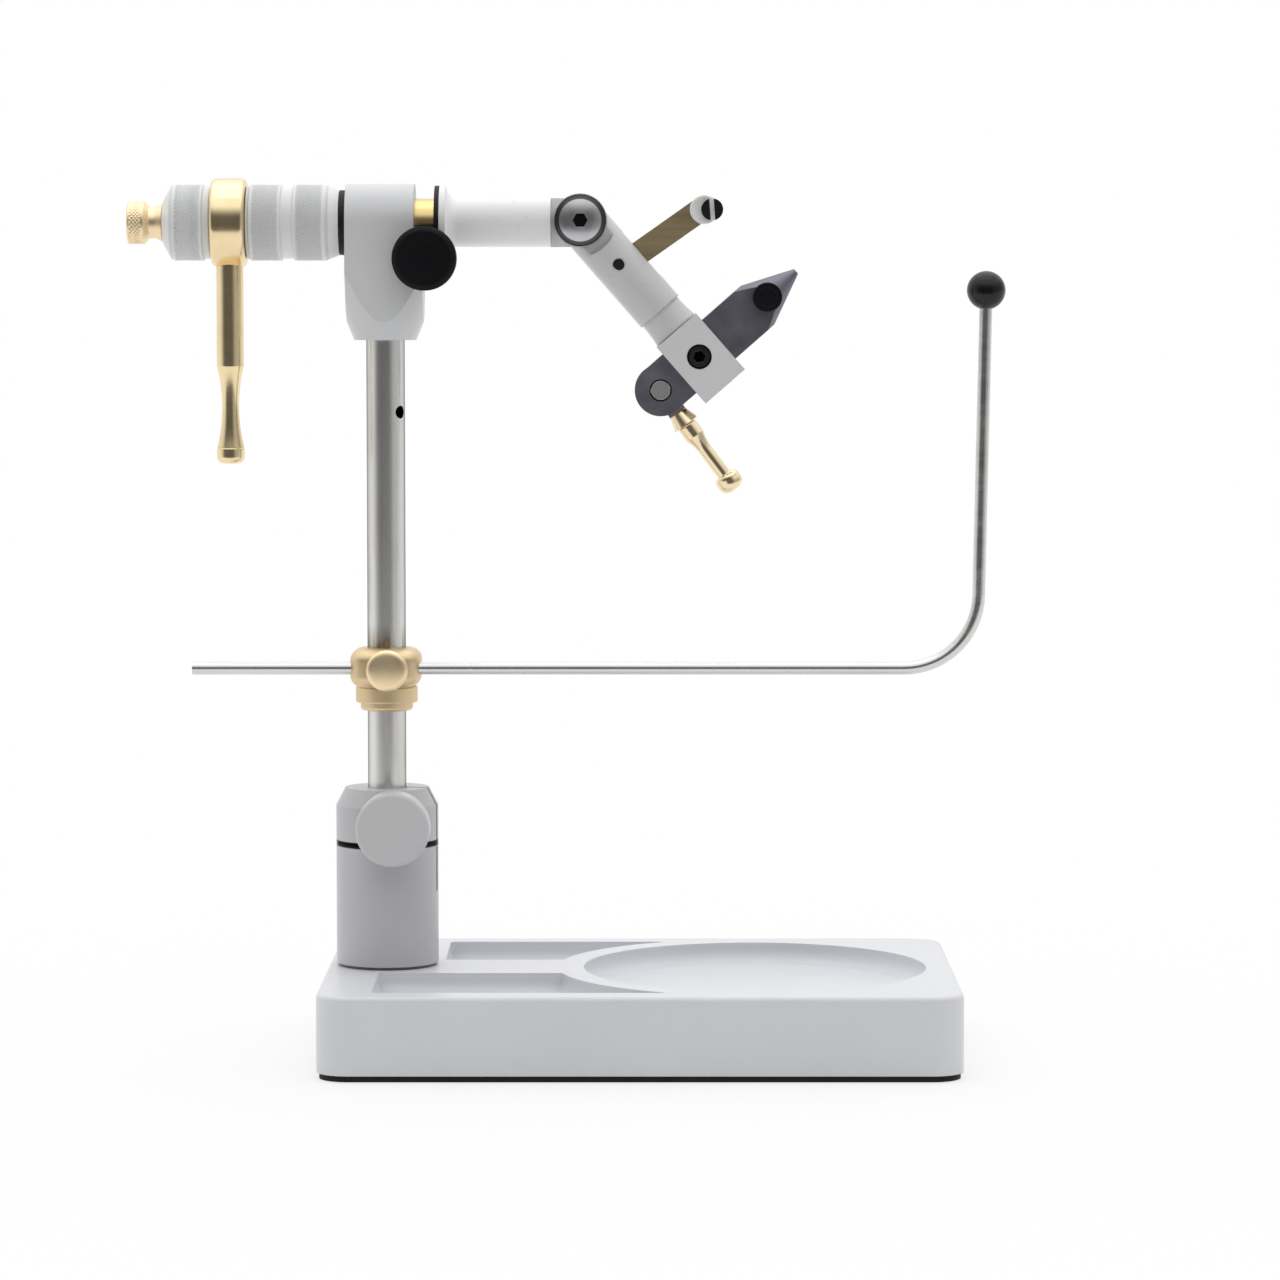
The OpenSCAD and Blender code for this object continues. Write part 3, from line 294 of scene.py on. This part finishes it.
def ground_bar(name, colour, stain, along, rough, streak=0.93, grazing=1.0, bored=None):
    """Centreless ground bar: faint streaks along it and a little stain.

    streak is how dark the streaks are, and grazing the metal's reflection at its edges, as a share of
    what it would be. bored names a post whose inside, where a hole crosses it, has painted shade, and which
    is tarnished for a few millimetres above the cradle, where hands and water reach it.
    """
    look = Look(name)
    streaks = look.stretched(420.0, 5.0, along, 3, 0.5)
    patches = look.stretched(147.0, 30.0, along, 4, 0.6)
    base = look.shades(streaks, colour, (0.3, streak), 0.5, (0.7, 1.03))
    tint = look.mix(look.span(patches, 0.0, 0.55, 0.5, 0.78), base, stain)
    if bored:
        tarnish = (0.30, 0.235, 0.15)
        bore_shade = (0.03, 0.03, 0.03)
        reach = 6 * MM
        skin = 0.25 * MM
        height = look.place()["Z"]
        low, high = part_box("cradle_body")
        worn = look.both(look.span(height, 0.0, 1.0, high[2] + reach, high[2]),
                         look.math("GREATER_THAN", height, low[2]))
        tint = look.mix(look.both(worn, look.span(streaks, 0.0, 1.0, 0.44, 0.6)), tint, tarnish)
        # Painted shade inside the post where the hole crosses it
        tint = look.round_shade(tint, bored, along, -skin, bore_shade)
    return look.finish(tint, look.span(streaks, *rough, 0.35, 0.65),
                       look.surface(streaks, 0.3, 0.001 * MM, 0.12 * MM),
                       Metallic=1.0, Specular_Tint=(grazing, grazing, grazing, 1.0))


def plastic(name, colour, rough=(0.34, 0.5), grain=900, depth=0.02 * MM, edge=0.2 * MM, shine_level=0.5):
    """Moulded or blackened surface with a fine grain."""
    look = Look(name)
    haze = look.noise(120, 5, 0.6)
    tint = look.shades(haze, colour, (0.3, 0.8), 0.55, (0.85, 1.35))
    normal = look.surface(look.noise(grain, 4, 0.6), 0.4, depth, edge)
    return look.finish(tint, look.span(haze, *rough, 0.3, 0.7), normal, Specular_IOR_Level=shine_level)


def slotted_screw(name, colour, slot_highlight, node, slot, deep, lean):
    """Blackened screw head with a painted highlight on its slot's floor.

    slot is its width, deep how far below the head's face the painted highlight starts, and lean its tilt.
    """
    look = Look(name)
    low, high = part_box(node)
    centre = (low + high) / 2
    place = look.place()
    along_x = look.math("MULTIPLY", look.math("SUBTRACT", place["X"], centre[0]), math.cos(lean))
    along_z = look.math("MULTIPLY", look.math("SUBTRACT", place["Z"], centre[2]), math.sin(lean))
    beside = look.math("ABSOLUTE", look.math("ADD", along_x, along_z))
    # Painted highlight: the slot's floor is coloured bright, below the head's face
    inside = look.both(look.math("LESS_THAN", beside, slot / 2),
                       look.math("GREATER_THAN", place["Y"], low[1] + deep))
    haze = look.noise(260, 5, 0.6)
    dark = look.shades(haze, colour, (0.3, 0.8), 0.6, (0.85, 1.4))
    light = look.ramp(haze, [(0.3, tone(slot_highlight, 0.9)), (0.7, slot_highlight)])
    normal = look.surface(look.noise(1400, 3), 0.2, 0.003 * MM, 0.12 * MM)
    return look.finish(look.mix(inside, dark, light), look.span(haze, 0.3, 0.42, 0.3, 0.7), normal,
                       Specular_IOR_Level=0.4)


def blued(name, colour, rough, head=None, socket=0.0, rim=1.0, pin=None):
    """Blued steel.

    head names a round head that faces the front, with painted shade in its socket of that radius and on
    its rim from that share of its radius on. pin names a round node that goes through the piece; the
    countersink round that pin has painted shade.
    """
    look = Look(name)
    haze = look.noise(150, 5, 0.6)
    tint = look.shades(haze, colour, (0.3, 0.84), 0.55, (0.85, 1.2))
    # Painted shade: the head's rim darker, and its socket nearly black
    if head:
        low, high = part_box(head)
        away = look.distance((low + high) / 2, "y")
        start = rim * (high[0] - low[0]) / 2
        inside = look.both(look.math("LESS_THAN", away, socket),
                           look.math("GREATER_THAN", look.place()["Y"], low[1] + 0.3 * MM))
        tint = look.mix(look.span(away, 0.0, 1.0, start - 0.2 * MM, start), tint, tone(colour, 0.14))
        tint = look.mix(inside, tint, tone(colour, 0.06))
    # Painted shade in the countersink round the pin
    if pin:
        tint = look.round_shade(tint, pin, "y", 0.4 * MM, tone(colour, 0.05))
    normal = look.surface(look.noise(1500, 3, 0.6), 0.4, 0.004 * MM, 0.2 * MM)
    return look.finish(tint, look.span(haze, *rough, 0.3, 0.7), normal, Metallic=1.0)


BRASS = (0.90, 0.725, 0.445)
PALE_BRASS = (0.90, 0.755, 0.50)
LEVER = dict(axis="z", rough=(0.14, 0.22), line=300, depth=0.0005 * MM, dull=0.96, spots=40)
# How each look is made: its kind, its colour and what differs from its kind's usual values
LOOKS = {
    "coat_base": (powder_coat, (0.68, 0.687, 0.72), dict(rough=(0.31, 0.345))),
    "coat_column": (powder_coat, (0.50, 0.50, 0.515), dict(split="clamp_column")),
    "coat_knob": (powder_coat, (0.56, 0.56, 0.57), {}),
    "coat_head": (powder_coat, (0.69, 0.695, 0.705), dict(rough=(0.29, 0.325))),
    "coat_arm": (powder_coat, (0.62, 0.62, 0.625), dict(rough=(0.27, 0.31), edge=0.9 * MM)),
    # The rotor arm's coat is lighter than the other coats: painted light, for the stronger light on it
    "coat_rotor": (powder_coat, (0.88, 0.88, 0.88), dict(rough=(0.27, 0.31))),
    "sleeve": (powder_coat, (0.82, 0.825, 0.83),
               dict(grain=2200, depth=0.008 * MM, rough=(0.3, 0.34), knurled="grip_sleeve")),
    "block": (powder_coat, (0.70, 0.70, 0.71), dict(grain=2400, depth=0.025 * MM, rough=(0.34, 0.46))),
    "steel_z": (ground_bar, (0.76, 0.755, 0.73),
                dict(stain=(0.52, 0.48, 0.42), along="z", rough=(0.24, 0.32), streak=0.84, grazing=0.2,
                     bored="post")),
    "steel_x": (ground_bar, (0.68, 0.68, 0.67),
                dict(stain=(0.55, 0.54, 0.52), along="x", rough=(0.20, 0.29))),
    "steel": (turned_metal, (0.74, 0.74, 0.76), dict(axis="y", rough=(0.30, 0.42))),
    "brass_x": (turned_metal, BRASS, dict(axis="x")),
    "brass_z": (turned_metal, BRASS, dict(axis="z", rough=(0.14, 0.25))),
    "brass_lever": (turned_metal, PALE_BRASS, LEVER),
    "brass_cam": (turned_metal, PALE_BRASS, dict(LEVER, pin="cam_pin")),
    "brass_bush": (turned_metal, (0.74, 0.57, 0.27), dict(axis="x", rough=(0.2, 0.3))),
    "brass_knurled": (turned_metal, (0.96, 0.78, 0.50), dict(axis="x", rough=(0.34, 0.46))),
    "collar": (turned_metal, (0.76, 0.60, 0.37),
               dict(axis="z", rough=(0.38, 0.50), line=2200, depth=0.006 * MM)),
    "knob_brass": (turned_metal, (0.93, 0.745, 0.47),
                   dict(axis="y", rough=(0.32, 0.42), line=900, depth=0.004 * MM)),
    "gauge": (drawn_metal, (0.50, 0.40, 0.235), dict(along="x", rough=(0.42, 0.56), depth=0.002 * MM)),
    "jaw": (blued, (0.215, 0.215, 0.25), dict(rough=(0.46, 0.56), pin="cam_pin")),
    "black": (plastic, (0.009, 0.009, 0.010), dict(rough=(0.28, 0.42), edge=0.5 * MM)),
    "gunmetal": (blued, (0.56, 0.56, 0.58),
                 dict(rough=(0.24, 0.34), head="pivot_screw", socket=2.0 * MM, rim=0.87)),
    "screw_head": (blued, (0.10, 0.10, 0.105),
                   dict(rough=(0.26, 0.36), head="jaw_screw", socket=1.5 * MM, rim=0.9)),
    "nickel": (plastic, (0.92, 0.92, 0.91), dict(rough=(0.2, 0.3), grain=1600, depth=0.006 * MM)),
    "knob": (plastic, (0.004, 0.004, 0.0055),
             dict(rough=(0.46, 0.62), grain=1100, depth=0.03 * MM, shine_level=0.15)),
    "ball": (plastic, (0.005, 0.005, 0.006),
             dict(rough=(0.14, 0.26), grain=500, depth=0.006 * MM, shine_level=0.35)),
    "washer": (plastic, (0.008, 0.008, 0.009), dict(rough=(0.45, 0.6), shine_level=0.3)),
    "pad": (plastic, (0.010, 0.010, 0.010),
            dict(rough=(0.6, 0.8), grain=1800, depth=0.05 * MM, shine_level=0.3)),
    # The gauge screw's slot floor gets a painted highlight
    "slotted": (slotted_screw, (0.008, 0.008, 0.009),
                dict(slot_highlight=(0.92, 0.92, 0.92), node="gauge_screw", slot=1.14 * MM, deep=0.35 * MM,
                     lean=math.radians(4))),
}
looks = {name: make(name, colour, **options) for name, (make, colour, options) in LOOKS.items()}

NODE_LOOKS = {
    "base_plate": "coat_base", "foot_pad": "pad", "clamp_column": "coat_column", "column_bolt": "steel",
    "column_knob": "coat_knob", "column_stud": "steel", "post": "steel_z", "stop_collar": "collar",
    "collar_screw": "black", "cradle_body": "collar", "cradle_knob": "knob_brass",
    "cradle_rod": "steel_x", "rod_ball": "ball", "head_block": "coat_head", "head_set_screw": "black",
    "front_bush": "brass_bush", "rear_bush": "brass_bush", "lock_knob": "knob", "lock_stud": "steel",
    "spindle": "steel", "tail_sleeve": "sleeve", "grip_sleeve": "sleeve", "crank_ring": "brass_x",
    "crank_handle": "brass_z", "crank_set_screw": "black", "drag_washer": "washer",
    "thrust_washer": "washer", "rotor_arm": "coat_rotor", "pivot_screw": "gunmetal",
    "pivot_washer": "washer", "tension_nut": "brass_knurled", "arm_bar": "coat_arm", "jaw_block": "block",
    "gauge_pin": "black", "jaw_screw": "screw_head", "rear_jaw": "jaw", "cam_pin": "steel",
    "gauge_bar": "gauge", "gauge_button": "nickel", "gauge_screw": "slotted",
    "cam_barrel": "brass_cam", "lever_handle": "brass_lever", "front_jaw": "jaw", "jaw_knob": "knob",
    "jaw_stud": "steel",
}


def dress(obj, look):
    obj.data.materials.clear()
    obj.data.materials.append(looks[look])


for name, obj in nodes.items():
    dress(obj, NODE_LOOKS[name])

# Meshes in code


def mesh_object(name, points, faces):
    mesh = bpy.data.meshes.new(name)
    mesh.from_pydata(points, [], faces)
    return add_object(name, mesh)


def stacked(name, rings, through=False):
    """A closed object from rings of points, each of the same count.

    through says that its last ring joins its first, as in a bored piece. Without it both ends are capped.
    """
    count = len(rings[0])
    faces = []
    for j in range(len(rings) if through else len(rings) - 1):
        here, there = j * count, (j + 1) % len(rings) * count
        for i in range(count):
            after = (i + 1) % count
            faces.append((here + i, here + after, there + after, there + i))
    if not through:
        last = (len(rings) - 1) * count
        faces += [tuple(reversed(range(count))), tuple(range(last, last + count))]
    return mesh_object(name, [point for ring in rings for point in ring], faces)


def ring_at(centre, axis, place, radius, count):
    """Points round an axis through centre, where radius is a function of the share of a turn."""
    k = AXES.index(axis)
    ring = []
    for i in range(count):
        share = i / count
        r, angle = radius(share), FULL_TURN * share
        point = list(centre)
        point[k] = place
        point[(k + 1) % 3] += r * math.cos(angle)
        point[(k + 2) % 3] += r * math.sin(angle)
        ring.append(point)
    return ring


def steady(r):
    """The radius r at every share of a turn."""
    return lambda share: r


def smooth(obj, crease):
    """Shade the object smooth, but for edges sharper than crease degrees."""
    obj.data.shade_smooth()
    obj.data.set_sharp_from_angle(angle=math.radians(crease))


# Turned pieces, in more detail than the solids they stand for


def soften(outline, reach, steps=3):
    """The outline with each corner rounded by a short curve that starts and ends reach away."""
    most = 0.45
    points = [outline[0]]
    for i in range(1, len(outline) - 1):
        here = Vector(outline[i])
        before, after = Vector(outline[i - 1]) - here, Vector(outline[i + 1]) - here
        a = here + before.normalized() * min(reach, before.length * most)
        b = here + after.normalized() * min(reach, after.length * most)
        for k in range(steps + 1):
            t = k / steps
            points.append(tuple(a * (1 - t) ** 2 + here * 2 * t * (1 - t) + b * t ** 2))
    return points + [outline[-1]]


def valley(turns):
    """1 in the bottom of a knurl's groove, 0 on its crest."""
    return abs(2 * (turns - math.floor(turns)) - 1)


def knurl_rows(r, start, end, depth, count, diamond=True):
    """Rings of a knurled band as (radius at a share of a turn, position)."""
    pitch = FULL_TURN * r / count
    rows = max(4, round((end - start) / pitch) * 4) if diamond else 5
    rings = []
    for i in range(rows + 1):
        along = start + (end - start) * i / rows
        fade = min(1.0, i / 2, (rows - i) / 2)

        def radius(share, place=(along - start) / pitch, fade=fade):
            turn = share * count
            if diamond:
                cut = max(valley(turn + place), valley(turn - place))
            else:
                cut = valley(turn)
            return r - depth * fade * cut

        rings.append((radius, along))
    return rings


def turned(name, node, body, look, axis, parts, count):
    """A closed piece turned about a node's own axis, which stands for that node.

    parts is a list of outlines, each a list of (radius, position) from the node's low end, or knurled
    bands. The mesh has four segments for each of count teeth.
    """
    low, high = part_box(node)
    start = low[AXES.index(axis)]
    bored = parts[0][0][0] > TINY
    rings = [ring_at((low + high) / 2, axis, start + along, r if callable(r) else steady(r), 4 * count)
             for part in parts for r, along in part]
    obj = stacked(name, rings, bored)
    smooth(obj, crease=24)
    dress(obj, look)
    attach(obj, body)
    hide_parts(node)


def size_of(node, axis):
    """Radius and length of a turned node."""
    low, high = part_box(node)
    k = AXES.index(axis)
    return (high[(k + 1) % 3] - low[(k + 1) % 3]) / 2, high[k] - low[k]


BORE = 4.05 * MM
SINK = 0.5 * MM
EDGE = 0.22 * MM
SLEEVE_TEETH = 60

# The grip sleeve: two knurled bands, the groove between them and the bevel towards the head
r, length = size_of("grip_sleeve", "x")
inner = r - SINK
turned("grip_sleeve_knurled", "grip_sleeve", "rotor", "sleeve", "x", [
    soften([(BORE, 0), (inner, 0), (inner, 0.025 * length), (r, 0.04 * length), (r, 0.05 * length)], EDGE),
    knurl_rows(r, 0.055 * length, 0.355 * length, KNURL, SLEEVE_TEETH),
    soften([(r, 0.36 * length), (r, 0.37 * length), (inner, 0.385 * length), (inner, 0.5 * length),
            (r, 0.515 * length), (r, 0.525 * length)], EDGE),
    knurl_rows(r, 0.53 * length, 0.83 * length, KNURL, SLEEVE_TEETH),
    soften([(r, 0.835 * length), (r, 0.845 * length), (0.85 * r, length), (BORE, length)], EDGE),
], SLEEVE_TEETH)

# The tail sleeve: a bevel up to one knurled band
r, length = size_of("tail_sleeve", "x")
inner = r - SINK
turned("tail_sleeve_knurled", "tail_sleeve", "rotor", "sleeve", "x", [
    soften([(BORE, 0), (0.55 * r, 0), (0.95 * r, 0.17 * length), (r, 0.25 * length), (r, 0.26 * length)],
           EDGE),
    knurl_rows(r, 0.27 * length, 0.82 * length, KNURL, SLEEVE_TEETH),
    soften([(r, 0.83 * length), (r, 0.84 * length), (inner, 0.87 * length), (inner, length), (BORE, length)],
           EDGE),
], SLEEVE_TEETH)

# The drag nut: a knurled head with a dimple, a waist and a flare against the sleeve, and a blind bore
NUT_TEETH = 36
r, length = size_of("tension_nut", "x")
head = 4.1 * MM
waist = 3.85 * MM
flare = 4.75 * MM
blind_r, blind_floor = 2.45 * MM, 0.9 * MM
neck = length - head
turned("tension_nut_knurled", "tension_nut", "drag_nut", "brass_knurled", "x", [
    soften([(TINY, 0.25 * MM), (0.62 * r, 0.25 * MM), (0.70 * r, 0), (0.93 * r, 0), (r, 0.3 * MM),
            (r, 0.4 * MM)], EDGE),
    knurl_rows(r, 0.45 * MM, head - 0.35 * MM, 0.26 * MM, NUT_TEETH),
    soften([(r, head - 0.3 * MM), (r, head), (waist, head + 0.28 * neck), (waist, head + 0.6 * neck),
            (flare, length), (blind_r, length), (blind_r, blind_floor), (TINY, blind_floor)], EDGE),
], NUT_TEETH)

# The lock knob: a knurled rim, rounded edges and a shallow dish in its face
LOCK_TEETH = 72
r, length = size_of("lock_knob", "y")
turned("lock_knob_knurled", "lock_knob", "lock", "knob", "y", [
    soften([(TINY, 0.35 * MM), (0.5 * r, 0.3 * MM), (0.74 * r, 0), (0.86 * r, 0), (r, 0.9 * MM),
            (r, 1.1 * MM)], 0.4 * MM),
    knurl_rows(r, 1.15 * MM, length - 0.85 * MM, 0.14 * MM, LOCK_TEETH),
    soften([(r, length - 0.8 * MM), (r, length - 0.5 * MM), (0.93 * r, length), (TINY, length)], EDGE),
], LOCK_TEETH)

# The jaw knob: a coarse straight knurl between two bevels
JAW_TEETH = 28
r, length = size_of("jaw_knob", "y")
turned("jaw_knob_knurled", "jaw_knob", "jaw_clamp", "knob", "y", [
    soften([(TINY, 0.2 * MM), (0.6 * r, 0.2 * MM), (0.7 * r, 0), (0.95 * r, 0), (r, 0.2 * MM),
            (r, 0.35 * MM)], 0.1 * MM),
    knurl_rows(r, 0.4 * MM, length - 0.65 * MM, 0.22 * MM, JAW_TEETH, diamond=False),
    soften([(r, length - 0.6 * MM), (r, length - 0.5 * MM), (0.86 * r, length), (TINY, length)], EDGE),
], JAW_TEETH)

# The cradle knob: a domed face, a rounded rim and its stud
DOME = 19 * MM
DOME_STEPS = 6
STUD = 1.9 * MM
r, length = size_of("cradle_knob", "y")
thick = 3.6 * MM
face = [k / DOME_STEPS * 0.88 * r for k in range(DOME_STEPS + 1)]
turned("cradle_knob_domed", "cradle_knob", "cradle_screw", "knob_brass", "y", [
    [(max(TINY, x), x * x / (2 * DOME)) for x in face],
    soften([(0.9 * r, 0.6 * MM), (r, 1.0 * MM), (r, thick - 0.4 * MM), (r - 0.4 * MM, thick), (STUD, thick),
            (STUD, length - 0.2 * MM), (STUD - 0.2 * MM, length), (TINY, length)], EDGE),
], 24)

# The cradle body: fuller at its shoulders than the solid, so that the rod enters near its edge


def bar(name, centre, axis, r, start, end):
    """A plain round bar along an axis, to join or to cut with."""
    sides = 96
    return stacked(name, [ring_at(centre, axis, place, steady(r), sides) for place in (start, end)])


def carve(obj, steps):
    """Join or cut with each tool in turn, and leave one plain mesh."""
    for operation, tool in steps:
        change = obj.modifiers.new(operation, "BOOLEAN")
        change.operation = operation
        change.solver = "EXACT"
        change.object = tool
    view = bpy.context.evaluated_depsgraph_get()
    mesh = bpy.data.meshes.new_from_object(obj.evaluated_get(view))
    obj.modifiers.clear()
    obj.data = mesh
    for _, tool in steps:
        bpy.data.objects.remove(tool)


# Radius of its upper and lower edges, and of the boss that its knob is screwed into
SHOULDER = 3.0 * MM
BOSS = 4.5 * MM
# Its outline from above: at 2 it is a circle, and the higher, the squarer
SQUARENESS = 4.0
CRADLE_SIDES = 144
low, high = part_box("cradle_body")
half = (high[0] - low[0]) / 2
hub = (low[0] + half, high[1] - half)
curve = [(half - SHOULDER * (1 - math.sin(a)), SHOULDER * (1 - math.cos(a)))
         for a in (math.radians(9 * k) for k in range(11))]
side = [(reach, low[2] + rise) for reach, rise in curve]
side += [(reach, high[2] - rise) for reach, rise in reversed(curve)]


def squarish(reach):
    """Radius of the outline from above, where reach is its radius to the front and the sides."""
    def radius(share):
        c, s = abs(math.cos(FULL_TURN * share)), abs(math.sin(FULL_TURN * share))
        return reach / (c ** SQUARENESS + s ** SQUARENESS) ** (1 / SQUARENESS)
    return radius


cradle = stacked("cradle_body_full", [ring_at((*hub, 0), "z", z, squarish(reach), CRADLE_SIDES)
                                      for reach, z in side])
middle = (low + high) / 2
knob_low, knob_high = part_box("cradle_knob")
knob_line = (((knob_low + knob_high) / 2)[0], 0, middle[2])
rod_low, rod_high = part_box("cradle_rod")
rod_r = (rod_high[1] - rod_low[1]) / 2
rod_line = (middle[0], rod_low[1] + rod_r, middle[2])
post_low, post_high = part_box("post")
post_r = (post_high[0] - post_low[0]) / 2
post_line = (post_low + post_high) / 2
carve(cradle, [
    ("UNION", bar("boss", knob_line, "y", BOSS, low[1], hub[1])),
    ("DIFFERENCE", bar("bore", post_line, "z", post_r + RUN_GAP, low[2] - MM, high[2] + MM)),
    ("DIFFERENCE", bar("rod_bore", rod_line, "x", rod_r + RUN_GAP, low[0] - MM, high[0] + MM)),
    ("DIFFERENCE", bar("stud_bore", knob_line, "y", STUD + RUN_GAP, low[1] - MM, rod_line[1])),
])
smooth(cradle, crease=30)
dress(cradle, "collar")
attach(cradle, "cradle")
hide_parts("cradle_body")

# Floor, backdrop and light

FLOOR_FRONT, FLOOR_REACH, FLOOR_DROP = -0.46, 9.0, 0.2 * MM
PAPER_ALBEDO, PAPER_ROUGH = 0.84, 0.9
# The share of white light in the paper under the object and away from it, and how far each reaches
GLOW = (0.7, 1.0)
GLOW_REACH = (0.12, 0.36)

floor = mesh_object("floor", [(-FLOOR_REACH, FLOOR_FRONT, 0), (FLOOR_REACH, FLOOR_FRONT, 0),
                              (FLOOR_REACH, FLOOR_REACH, 0), (-FLOOR_REACH, FLOOR_REACH, 0)], [(0, 1, 2, 3)])
floor.location.z = -FLOOR_DROP

# White paper: the camera sees it white away from the object and with the object's shadow close by
paper = bpy.data.materials.new("paper")
paper.use_nodes = True
graph = Graph(paper.node_tree, "Object")
surface = graph.tree.nodes["Principled BSDF"]
surface.inputs["Base Color"].default_value = (PAPER_ALBEDO, PAPER_ALBEDO, PAPER_ALBEDO, 1)
surface.inputs["Roughness"].default_value = PAPER_ROUGH
glow = graph.add("ShaderNodeEmission")
glow.inputs["Color"].default_value = (*WHITE, 1)
# 1 for rays that come straight from the camera, off a gloss or through glass
rays = graph.add("ShaderNodeLightPath").outputs
mirrored = graph.math("MAXIMUM", rays["Is Glossy Ray"], rays["Is Transmission Ray"])
sharp = graph.math("MAXIMUM", rays["Is Camera Ray"], mirrored)
near = graph.span(graph.length(graph.coords), *GLOW, *GLOW_REACH, smooth=True)
both = graph.add("ShaderNodeMixShader")
graph.link(graph.math("MULTIPLY", sharp, near), both.inputs["Fac"])
graph.link(surface.outputs["BSDF"], both.inputs[1])
graph.link(glow.outputs["Emission"], both.inputs[2])
graph.link(both.outputs["Shader"], graph.tree.nodes["Material Output"].inputs["Surface"])
floor.data.materials.append(paper)

# The room: white for the camera, and for the object a white tent with a dark gap in front.
# Level of the tent's sides by the angle from the front in degrees, to the right positive
SIDES = [(-180, 0.95), (-108, 0.92), (-84, 0.84), (-68, 0.6), (-53, 0.2), (-43, 0.12), (24, 0.12), (36, 0.3),
         (50, 0.46), (100, 0.48), (128, 0.85), (180, 0.95)]
# Level of its top, and the heights between which the sides turn into the top
TOP = 1.25
TOP_FROM, TOP_TO = math.radians(16), math.radians(46)

world = bpy.data.worlds.new("world")
scene.world = world
world.use_nodes = True
graph = Graph(world.node_tree, "Generated")
place = graph.place()
turn = graph.math("ARCTAN2", place["X"], graph.math("MULTIPLY", place["Y"], -1.0))
around = graph.ramp(graph.span(turn, 0.0, 1.0, -math.pi, math.pi),
                    [((angle + 180) / 360, (level, level, level)) for angle, level in SIDES])
rise = graph.span(graph.math("ARCSINE", place["Z"]), 0.0, 1.0, TOP_FROM, TOP_TO, smooth=True)
tent = graph.mix(rise, around, (TOP, TOP, TOP))
seen = graph.mix(graph.add("ShaderNodeLightPath").outputs["Is Camera Ray"], tent, WHITE)
graph.link(seen, graph.tree.nodes["Background"].inputs["Color"])

# One soft lamp above, as wide as it is deep
LAMP_PLACE, LAMP_TARGET = (0, 0.12, 1.25), (0, 0, 0.11)
LAMP_SIZE, LAMP_POWER = 1.1, 2.2

lamp = bpy.data.lights.new("top", "AREA")
lamp.shape = "RECTANGLE"
lamp.size = lamp.size_y = LAMP_SIZE
lamp.energy = LAMP_POWER
aim(add_object("top", lamp), LAMP_PLACE, LAMP_TARGET)

scene.view_settings.view_transform = "Standard"
